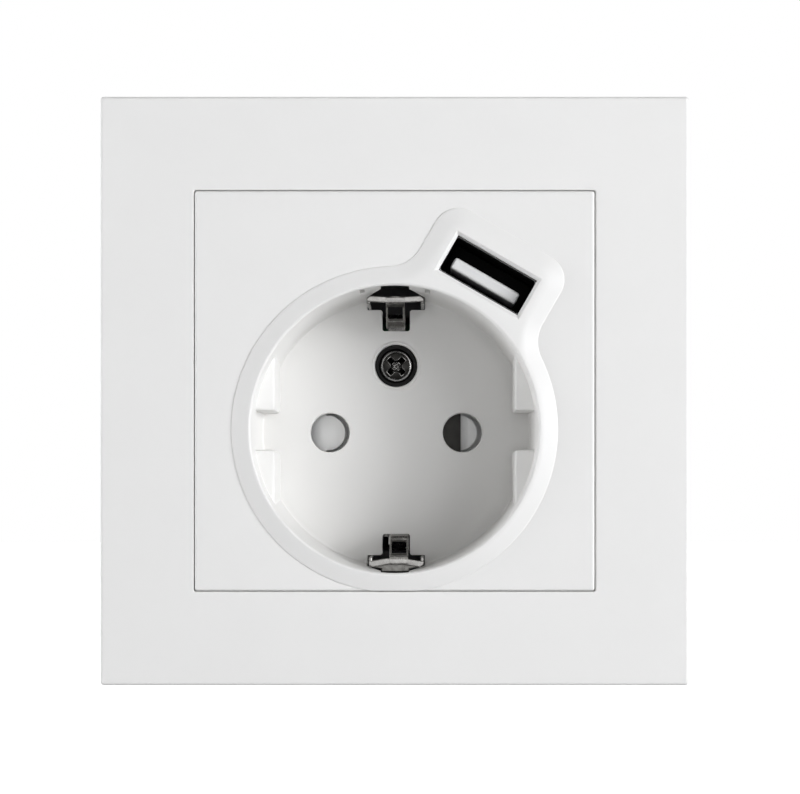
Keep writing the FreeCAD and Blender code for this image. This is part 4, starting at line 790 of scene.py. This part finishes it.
OPEN_U, OPEN_V = 6.25, 2.75
CHAMFER = 0.45
mouth = [(slanted_box(OPEN_U + CHAMFER + 0.1, OPEN_V + CHAMFER + 0.1), COLLAR_FRONT - 0.1),
         (slanted_box(OPEN_U + CHAMFER, OPEN_V + CHAMFER), COLLAR_FRONT),
         (slanted_box(OPEN_U, OPEN_V), COLLAR_FRONT + CHAMFER), (slanted_box(OPEN_U, OPEN_V), -9.5)]
cut(plate, loft("usb_opening", [[(x, y, z) for x, z in outline] for outline, y in mouth]))
tell("with its USB opening", plate)

# %% [markdown]
# ### Room for the port
# Behind the opening, a wider seat takes the steel shell, and a slot takes the port's small board.
# The pot's wall stays whole, so it is taken out of the seat first.

# %% Cut the seat and finish the moulding
SEAT_U, SEAT_V, SEAT_FRONT, SEAT_END = 6.75, 3.06, -10.0, -4.0
seat = prism("shell_seat", slanted_box(SEAT_U, SEAT_V), SEAT_FRONT, SEAT_END)
cut(seat, turned("pot", [(POT_R, SEAT_FRONT - 2), (POT_R, 0.0)], z=PIT_Z))
WAY_U, WAY_V, WAY_MIDDLE, WAY_FRONT = 7.7, 1.76, 28.95, -7.2
board_way = prism("board_way", slanted_box(WAY_U, WAY_V, WAY_MIDDLE), WAY_FRONT, SEAT_END)
cut(plate, seat, board_way)
smooth_shade(plate)
dress(plate, "white_plastic", "socket", "centre_plate", "recess_wall", "recess_floor")

# %% [markdown]
# ## Cover frame
# The outer frame is one profile carried round a square. Each point of the profile becomes a square
# ring, and the rings are skinned in order and closed on themselves. The outer corners are rounded a
# little, the inner ones are nearly sharp.

# %% Build the cover frame
FRAME_HALF = 40.5
FRAME_FRONT = -10.0
OPENING_HALF = 27.6
LEDGE_HALF = 26.7
OUTER_ROUND, INNER_ROUND, CORNER_ROUND = 0.45, 0.2, 0.25
LEDGE_BACK, FRAME_SKIN, RING_ROOM, HOLLOW_HALF = -6.5, -7.8, 29.68, 38.5
LEAST_ROUND, HOLLOW_ROUND = 0.02, 0.4

def square_ring(half, y, corner):
    """Square of points with small rounded corners, at one depth."""
    swing = max(corner, LEAST_ROUND)
    points = []
    middle = half - swing
    for turn, (dx, dz) in enumerate(((1, 1), (-1, 1), (-1, -1), (1, -1))):
        points += arc((dx * middle, dz * middle), swing, turn * 90, turn * 90 + 90, 5)
    return [(x, y, z) for x, z in points]


outer_edge = [(FRAME_HALF - OUTER_ROUND + r, FRAME_FRONT + OUTER_ROUND - s)
              for r, s in arc((0, 0), OUTER_ROUND, 0, 90, 5)]
inner_edge = [(OPENING_HALF + INNER_ROUND - r, FRAME_FRONT + INNER_ROUND - s)
              for r, s in arc((0, 0), INNER_ROUND, 90, 0, 4)]
ledge = [(OPENING_HALF, LEDGE_FRONT), (LEDGE_HALF, LEDGE_FRONT), (LEDGE_HALF, LEDGE_BACK),
         (RING_ROOM, LEDGE_BACK), (RING_ROOM, FRAME_SKIN)]
profile = [(FRAME_HALF, 0.0, OUTER_ROUND)]
profile += [(h, y, OUTER_ROUND - (FRAME_HALF - h)) for h, y in outer_edge]
profile += [(h, y, CORNER_ROUND) for h, y in inner_edge + ledge]
profile += [(HOLLOW_HALF, FRAME_SKIN, HOLLOW_ROUND), (HOLLOW_HALF, 0.0, HOLLOW_ROUND)]
surround = loft("cover_surround", [square_ring(*point) for point in profile], ring_shaped=True)
smooth_shade(surround)
dress(surround, "white_plastic", "socket", "cover_frame")

# %% [markdown]
# ## Cover screw
# The head sits deep in its well, so only its edges catch light: a thin arc at the rim and the walls
# of the cross recess. The screw is turned in one piece. Its thread is a row of rings without a
# pitch angle, because only its rear is seen, and from afar. The dark sleeve round the head stays as
# packed.

# %% Turn the cover screw
HEAD_FRONT = 7.3
THREADS, PITCH, ROOT_R, CREST_R, THREAD_START = 16, 0.42, 1.3, 1.48, 2.2
RIM_STARTS = 1.97
head = [(0.9, 0.0), (1.5, 0.05), (1.9, 0.12), (RIM_STARTS, 0.24), (2.02, 0.25), (2.24, 0.31),
        (2.32, 0.42), (2.35, 0.6), (2.35, 1.7), (1.5, 1.7), (1.5, 2.1)]
thread = []
for turn in range(THREADS):
    start = THREAD_START + turn * PITCH
    thread += [(ROOT_R, start), (CREST_R, start + 0.15), (CREST_R, start + 0.21), (ROOT_R, start + 0.36)]
screw_profile = [(r, HEAD_FRONT + depth) for r, depth in head + thread + [(1.0, 9.1)]]
screw = turned("cover_screw_black", screw_profile, z=SCREW_Z, steps=64)
tell("screw blank", screw)

# %% [markdown]
# ### Cross recess and painted glint on the rim
# Two crossed tapered wedges and a pit cut the recess, as a real punch leaves it. The rim's faces get
# a near-white steel, which paints the glint where the rim catches light.

# %% Punch the recess
RIM_ENDS, RIM_DEEP = 2.3, 0.5
wedge = ((1.72, 0.50, -0.3), (1.62, 0.42, 0.0), (0.62, 0.24, 1.25))
for turn in (45, 135):
    c, s = math.cos(math.radians(turn)), math.sin(math.radians(turn))
    rings = []
    for long, wide, depth in wedge:
        corners = [(-long, -wide), (long, -wide), (long, wide), (-long, wide)]
        rings.append([(u * c - v * s, HEAD_FRONT + depth, u * s + v * c + SCREW_Z) for u, v in corners])
    cut(screw, loft("wedge", rings))
pit = [(0.95, HEAD_FRONT - 0.2), (0.85, HEAD_FRONT), (0.25, HEAD_FRONT + 1.3)]
cut(screw, turned("pit", pit, z=SCREW_Z, steps=24))
smooth_shade(screw, 35)
dress(screw, "zinc_steel", "socket", "cover_screw", finish="dark_reflection_steel")

def on_glint_rim(centre):
    """Whether a face of the screw lies on the head's rim, where the glint is painted."""
    reach = math.hypot(centre.x, centre.z - SCREW_Z)
    return RIM_STARTS < reach < RIM_ENDS and centre.y < HEAD_FRONT + RIM_DEEP


# Painted glint on the rim of the screw head.
accent(screw, "rim_glint_steel", on_glint_rim)

# %% [markdown]
# ## Earth strap
# One nickel-plated strip runs behind the floor and rises at both ends as a spring arm. Each arm
# leans inward to a rounded bulge that touches the plug, bends outward again round a punched window,
# and ends in two wings that lie in the wall slot. It is made as a sheet: a path runs through the
# middle of its thickness, rows of points follow it, and a Solidify modifier gives the thickness.

# %% Draw a bent path
def bent_path(points, radii, steps=7):
    """Open path of (r, y) points whose inner corners are rounded, each to its own radius."""
    path = [Vector(points[0])]
    for before, corner, after, radius in zip(points, points[1:], points[2:], radii):
        path += round_corner(before, corner, after, radius, steps)
    path.append(Vector(points[-1]))
    return path


def bent_strip(name, points, rows, thickness, gap_row=None):
    """Solid strip from rows of four points. Its middle third is open in the gap row."""
    faces = []
    for i in range(rows - 1):
        for k in range(3):
            if i != gap_row or k != 1:
                a = i * 4 + k
                faces.append((a, a + 1, a + 5, a + 4))
    strip = new_piece(name, points, faces)
    solid = strip.modifiers.new("thickness", "SOLIDIFY")
    solid.thickness = thickness * MM
    solid.offset = 0.0
    settle(strip)
    return strip


print("a path with one bend has", len(bent_path([(0, 0), (1, 0), (1, 1)], (0.2,))), "points")

# %% [markdown]
# ### One arm
# The sheet is four columns wide, and the middle strip is left out at the window. A bend's radius
# has to be larger than half the strip, or the inner side of the sheet would fold over itself.

# %% Bend one arm
STRIP = 0.62
ARM_HALF = 1.31
WINDOW_HALF = 1.04
BULGE_R, BULGE_Y, ARM_FOOT_R, LEAN = 14.72, 0.5, 16.55, 1.056

def arm_sheet(end, near, far, shift):
    """One arm as a bent sheet, in two runs with the window between them at radii near and far."""
    near_y, far_y = (BULGE_Y - (r - BULGE_R) * LEAN for r in (near, far))
    inner = bent_path([(ARM_FOOT_R, 13.9), (ARM_FOOT_R, 5.3), (BULGE_R, BULGE_Y), (near, near_y)],
                      (1.0, 0.9))
    outer = bent_path([(far, far_y), (far + 0.15, far_y - 0.15 * LEAN), (far + 0.42, -4.15),
                       (18.62, -4.2)], (0.36, 0.38))
    rows = inner + outer
    columns = (-ARM_HALF, -WINDOW_HALF, WINDOW_HALF, ARM_HALF)
    points = [(x + shift, p.y, PIT_Z + end * p.x) for p in rows for x in columns]
    return ease_edges(bent_strip("arm", points, len(rows), STRIP, len(inner) - 1), 0.09, 3)


parts = [arm_sheet(1, 15.7, 17.55, 0.0), arm_sheet(-1, 15.42, 17.35, 0.5)]
print("arms", [len(arm.data.polygons) for arm in parts], "faces")

# %% [markdown]
# ### Wings
# The wings are an outline with the strip's thickness, and their ends fold back into the slot. On
# the lower arm they sweep outward, on the upper one hardly at all, as spring arms never come out
# quite alike. The lower pair also shows a thin lip behind it.

# %% Add the wings
WING_FRONT, WING_BACK = -4.5, -3.88
WING_IN, WING_OUT, WING_TIP_IN, WING_TIP_OUT, WING_SHOULDER = 17.86, 18.68, 17.98, 18.42, 18.78
FLAP_FRONT, FLAP_BACK, FLAP_IN, FLAP_OUT = -4.3, 7.6, 17.66, 18.36

def wings(end, sweep, left_end, right_end):
    """Both wings in one outline, with a folded flap at each end."""
    tip_in, tip_out, shoulder = WING_TIP_IN + sweep, WING_TIP_OUT + sweep, WING_SHOULDER + sweep
    outline = [(left_end, tip_in), (-1.2, WING_IN), (1.2, WING_IN), (right_end, tip_in),
               (right_end, tip_out), (right_end - 0.5, shoulder), (0.9, WING_OUT), (0.35, WING_SHOULDER),
               (-0.35, WING_SHOULDER), (-0.9, WING_OUT), (left_end + 0.5, shoulder), (left_end, tip_out)]
    sheet = prism("wings", [(x, PIT_Z + end * r) for x, r in outline], WING_FRONT, WING_BACK)
    pieces = [ease_edges(sheet, 0.12, 3)]
    for low, high in ((left_end, left_end + 0.5), (right_end - 0.45, right_end)):
        z0, z1 = sorted((PIT_Z + end * FLAP_IN, PIT_Z + end * (FLAP_OUT + sweep)))
        pieces.append(ease_edges(block("flap", low, high, FLAP_FRONT, FLAP_BACK, z0, z1), 0.15, 3))
    return pieces


parts += wings(1, 0.05, -4.0, 4.0) + wings(-1, 0.32, -3.72, 4.0)
lip = mirrored([(3.7, 18.3), (3.7, 19.05), (2.5, 19.22), (1.9, 19.3), (1.9, 19.7)])
LIP_FRONT, LIP_BACK = -3.3, -3.0
parts.append(ease_edges(prism("lip", [(x, PIT_Z - r) for x, r in lip], LIP_FRONT, LIP_BACK), 0.08))
print("strap has", len(parts), "parts so far")

# %% [markdown]
# ### Bar and terminal
# Behind the floor, a bar joins both arms. The cover screw goes through its hole, and a tongue runs
# back to the earth wire's clamp. All parts become one mesh, as the real strip is.

# %% Add bar and tongue, and join the strap
STRAP_FRONT, STRAP_BACK = 13.75, 14.45
TERMINAL_Z = -19.6

def join(name, parts):
    """Several solids as one piece."""
    shape = bmesh.new()
    for part in parts:
        shape.from_mesh(part.data)
        bpy.data.objects.remove(part)
    mesh = bpy.data.meshes.new(name)
    shape.to_mesh(mesh)
    shape.free()
    return placed(name, mesh)


bar_shape = [(-3.0, -13.2), (-1.3, -13.6), (-1.3, -16.3), (1.8, -16.3), (1.8, -13.6), (3.0, -13.2),
             (3.0, 13.2), (1.3, 13.6), (1.3, 16.3), (-1.3, 16.3), (-1.3, 13.6), (-3.0, 13.2)]
bar = prism("bar", [(x, PIT_Z + r) for x, r in bar_shape], STRAP_FRONT, STRAP_BACK)
ease_edges(bar, 0.1)
cut(bar, turned("hole", [(1.5, STRAP_FRONT - 1), (1.5, STRAP_BACK + 1)], z=SCREW_Z, steps=48))
parts.append(bar)
tongue = block("tongue", -2.2, 2.2, STRAP_FRONT + 0.1, 25.0, TERMINAL_Z - 0.8, TERMINAL_Z)
parts.append(ease_edges(tongue, 0.1))
strap = join("earth_clip_strap", parts)
smooth_shade(strap, 35)
dress(strap, "nickel_strip", "socket", "earth_strap")

# %% [markdown]
# ### Painted shade on the strap
# In the photograph, the lip and the steep faces beside the window are darker than the rest, because
# they mirror the dark slot. That reflection is painted: a second, darker material on just these faces
# gives the same look.

# %% Paint shade on the lip and the steep faces
STEEP_IN, STEEP_OUT = 17.3, 18.2

def in_painted_shade(centre):
    """Whether a face of the strap is on the lip or beside the window, where shade is painted."""
    reach = abs(centre.z - PIT_Z)
    on_lip = LIP_FRONT - 0.1 < centre.y < LIP_BACK + 0.1 and reach > STEEP_OUT
    steep = -4.0 < centre.y < -2.6 and STEEP_IN < reach < STEEP_OUT and abs(centre.x) < 2.0
    return on_lip or steep


# Painted shade on the lip and the steep faces.
accent(strap, "painted_shade_strip", in_painted_shade)

# %% [markdown]
# ## Shutter
# Behind both pin holes lies one slider. Under each hole, a curved ramp climbs to a ridge just right
# of the middle, and beside it a flat pad ends in an arc. The gap round the pad shows as a dark
# crescent. The left hole is pale all over, but the left half of the right hole is dark, so the
# right ramp is short, and a trough lies beside it, whose floor gets a painted shade of dark grey.
# The slider is one block with a tab for its spring.

# %% Make the slider's block
SHUTTER_FRONT, SHUTTER_BACK = 8.5, 11.5
SLIDER_LEFT, SLIDER_RIGHT = -20.0, 13.7
SLIDER_HALF = 3.7
TAB_WIDE, TAB_LOW, TAB_HIGH = 1.4, 6.4, 2.0
slider = block("shutter_block", SLIDER_LEFT, SLIDER_RIGHT, SHUTTER_FRONT, SHUTTER_BACK,
               PIT_Z - SLIDER_HALF, PIT_Z + SLIDER_HALF)
ease_edges(slider, 0.2)
tab = ease_edges(block("tab", SLIDER_LEFT, SLIDER_LEFT + TAB_WIDE, SHUTTER_FRONT + 0.05,
                       SHUTTER_BACK - 0.05, PIT_Z - TAB_LOW, PIT_Z - TAB_HIGH), 0.2)
work(slider, "UNION", tab)
tell("slider block", slider)

# %% [markdown]
# ### Windows and crescents
# A window's outline is drawn from the side, with the ramp as one of its edges, and carried along Z.
# The crescent is a round hollow, with the pad and everything left of it kept out.

# %% Cut the windows
RIDGE = 0.9
RAMP_FOOT, SHORT_FOOT = -3.2, -0.2
WINDOW_END = -9.1
TROUGH = SHUTTER_BACK - 0.2
WINDOW_HALF_Z = 2.95
SHORT_FALL, LONG_FALL, RAMP_BOW, RAMP_STEPS = 0.5, 1.6, 0.7, 12
HOLLOW_R, HOLLOW_DEPTH, PAD_R, PAD_SHIFT = 3.3, 2.7, 2.5, -0.32
for side, foot, fall in ((1, SHORT_FOOT, SHORT_FALL), (-1, RAMP_FOOT, LONG_FALL)):
    middle = side * PIN_X
    outline = [(RIDGE, SHUTTER_FRONT - 1)]
    for k in range(RAMP_STEPS + 1):
        t = k / RAMP_STEPS
        sink = fall * ((1 - RAMP_BOW) * t + RAMP_BOW * t * t)
        outline.append((RIDGE + (foot - RIDGE) * t, SHUTTER_FRONT + sink))
    if foot > RAMP_FOOT:
        outline += [(foot, TROUGH), (RAMP_FOOT, TROUGH)]
    outline += [(RAMP_FOOT, SHUTTER_BACK + 1), (WINDOW_END, SHUTTER_BACK + 1),
                (WINDOW_END, SHUTTER_FRONT - 1)]
    cut(slider, loft("window", [[(middle + x, y, PIT_Z + z) for x, y in outline]
                                for z in (-WINDOW_HALF_Z, WINDOW_HALF_Z)]))
    hollow = [(HOLLOW_R, SHUTTER_FRONT - 0.5), (HOLLOW_R, SHUTTER_FRONT + HOLLOW_DEPTH)]
    gap = turned("gap", hollow, x=middle, z=PIT_Z, steps=64)
    pad = [(PAD_R - 0.08, SHUTTER_FRONT - 1), (PAD_R - 0.08, SHUTTER_FRONT),
           (PAD_R, SHUTTER_FRONT + 0.1), (PAD_R, SHUTTER_FRONT + 3)]
    cut(gap, turned("pad", pad, x=middle + PAD_SHIFT, z=PIT_Z, steps=64),
        block("keep", middle - 6, middle - 0.6, 0, 20, PIT_Z - 9, PIT_Z + 9))
    cut(slider, gap)
smooth_shade(slider)
dress(slider, "shutter_plastic", "shutter", "shutter_slider")

def in_shaded_trough(centre):
    """Whether a face of the slider is the floor of its trough, where shade is painted."""
    return PIN_X + RAMP_FOOT < centre.x < PIN_X + SHORT_FOOT and abs(centre.y - TROUGH) < 0.05


# Painted shade on the trough floor beside the right ramp.
accent(slider, "trough_painted_shade", in_shaded_trough)

# %% [markdown]
# ## USB port
# The port is a steel shell with a white tongue inside. The shell shows only as a thin bright line
# at the opening's upper and right edges, then black. The tongue stands low in the opening, and its
# rounded front edges give it a white outline. Four grooves in its upper side take the contacts, and
# a block closes the shell behind it, black to paint the shade deep in the port.

# %% Make the tongue and the block behind it
TONGUE_HALF = 5.12
TONGUE_LOW, TONGUE_HIGH = 23.15, 24.88
TONGUE_FRONT, TONGUE_BACK = -8.6, 1.0
GROOVES, GROOVE_HALF, GROOVE_FRONT, GROOVE_DEEP = (-3.5, -1.0, 1.0, 3.5), 0.56, -7.45, 0.24
CORE_HALF_U, CORE_HALF_V, CORE_FRONT, CORE_BACK = 6.2, 2.51, -0.5, 4.0

def slanted_block(name, middle_u, half_u, y0, y1, v0, v1):
    """Box in the port's slant, between two depths."""
    return prism(name, slanted(middle_u, half_u, v0, v1), y0, y1)


tongue = slanted_block("usb_tongue_white", USB_U, TONGUE_HALF, TONGUE_FRONT, TONGUE_BACK, TONGUE_LOW,
                       TONGUE_HIGH)
ease_edges(tongue, 0.36, 4)
for place in GROOVES:
    cut(tongue, slanted_block("groove", USB_U + place, GROOVE_HALF, GROOVE_FRONT, TONGUE_BACK + 1,
                              TONGUE_HIGH - GROOVE_DEEP, TONGUE_HIGH + 1))
smooth_shade(tongue, 35)
dress(tongue, "tongue_plastic", "socket", "usb_tongue")
# Black to paint the shade deep inside the port.
core = slanted_block("usb_core_block", USB_U, CORE_HALF_U, CORE_FRONT, CORE_BACK,
                     USB_V - CORE_HALF_V, USB_V + CORE_HALF_V)
ease_edges(core, 0.3)
smooth_shade(core, 35)
dress(core, "tongue_plastic", "socket", finish="port_black")

# %% [markdown]
# ## Return spring
# A small spring pushes the slider back when the plug is pulled out. Its end turns are closed, so
# the pitch is tight at both ends.

# %% Follow the helix
COIL_R, WIRE_R = 0.85, 0.15
COIL_LEFT, COIL_RIGHT = SLIDER_LEFT + 1.5, -3.3
COIL_TURNS = 10
COIL_Z = PIT_Z - 5.05
COIL_Y = (SHUTTER_FRONT + SHUTTER_BACK) / 2
TURN_POINTS, WIRE_POINTS = 24, 10

def coil_point(turn):
    """Middle of the wire after that many turns: closed end turns, an even pitch between them."""
    tight = 2 * WIRE_R + 0.03
    open_turns = COIL_TURNS - 2
    length = COIL_RIGHT - COIL_LEFT - 2 * WIRE_R
    pitch = (length - 2 * tight) / open_turns
    x = tight * min(turn, 1) + pitch * min(max(turn - 1, 0), open_turns)
    x += tight * max(turn - 1 - open_turns, 0)
    angle = 2 * math.pi * turn
    return Vector((COIL_LEFT + WIRE_R + x, COIL_Y + COIL_R * math.cos(angle),
                   COIL_Z + COIL_R * math.sin(angle)))


print("the spring is", round(COIL_RIGHT - COIL_LEFT, 2), "mm long")

# %% [markdown]
# ### The wire
# A circle set across the helix at each step makes the wire.

# %% Coil the return spring
rings = []
for k in range(COIL_TURNS * TURN_POINTS + 1):
    turn = k / TURN_POINTS
    here = coil_point(turn)
    along = (coil_point(turn + 0.01) - coil_point(turn - 0.01)).normalized()
    outward = (here - Vector((here.x, COIL_Y, COIL_Z))).normalized()
    across = along.cross(outward)
    rings.append([tuple(here + (outward * math.cos(a) + across * math.sin(a)) * WIRE_R)
                  for a in (2 * math.pi * i / WIRE_POINTS for i in range(WIRE_POINTS))])
coil = loft("return_spring", rings)
smooth_shade(coil, 40)
dress(coil, "spring_steel", "socket", "shutter_spring")
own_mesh(coil)

# %% [markdown]
# ## Wire clamps
# Each wire is held by a bent steel leaf. Its short leg stays put, and its long leg presses on the
# wire until the release button pushes it away.

# %% Bend the three clamp leaves
LEAF_TOP, LEAF_FOOT = -12.0, -19.2
LEAF_DEPTHS = (17.5, 24.6, 18.4)
LEAF_HALF, LEAF_MIDDLE, LEAF_THICK = 2.0, 0.7, 0.4

for name, middle in (("line", -14.5), ("neutral", 14.5), ("earth", 0.0)):
    path = bent_path(list(zip((LEAF_TOP, LEAF_TOP, LEAF_FOOT), LEAF_DEPTHS)), (0.9,), 12)
    columns = (middle - LEAF_HALF, middle - LEAF_MIDDLE, middle + LEAF_MIDDLE, middle + LEAF_HALF)
    points = [(x, p.y, p.x) for p in path for x in columns]
    leaf = ease_edges(bent_strip(name + "_clamp_leaf", points, len(path), LEAF_THICK), 0.06, 2)
    smooth_shade(leaf, 35)
    leaf.data.materials.append(FINISHES["spring_steel"])
    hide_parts(name + "_clamp")
    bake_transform(leaf)
    tell(leaf.name, leaf)

# %% [markdown]
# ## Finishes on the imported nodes
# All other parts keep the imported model's shape and only get a finish, by the slot that the record
# names for each node. Three big hidden mouldings get the coarser black.

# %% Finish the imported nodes
slots = {part["node"]: part["material_slot"] for part in frame["record"]["subparts"]}
for name, node in nodes.items():
    node.data.materials.clear()
    coarse = name in ("base_block", "base_rim", "rear_housing")
    node.data.materials.append(FINISHES["housing_black" if coarse else slots[name]])
print("finished", len(nodes), "nodes, out of", len(FINISHES), "finishes")
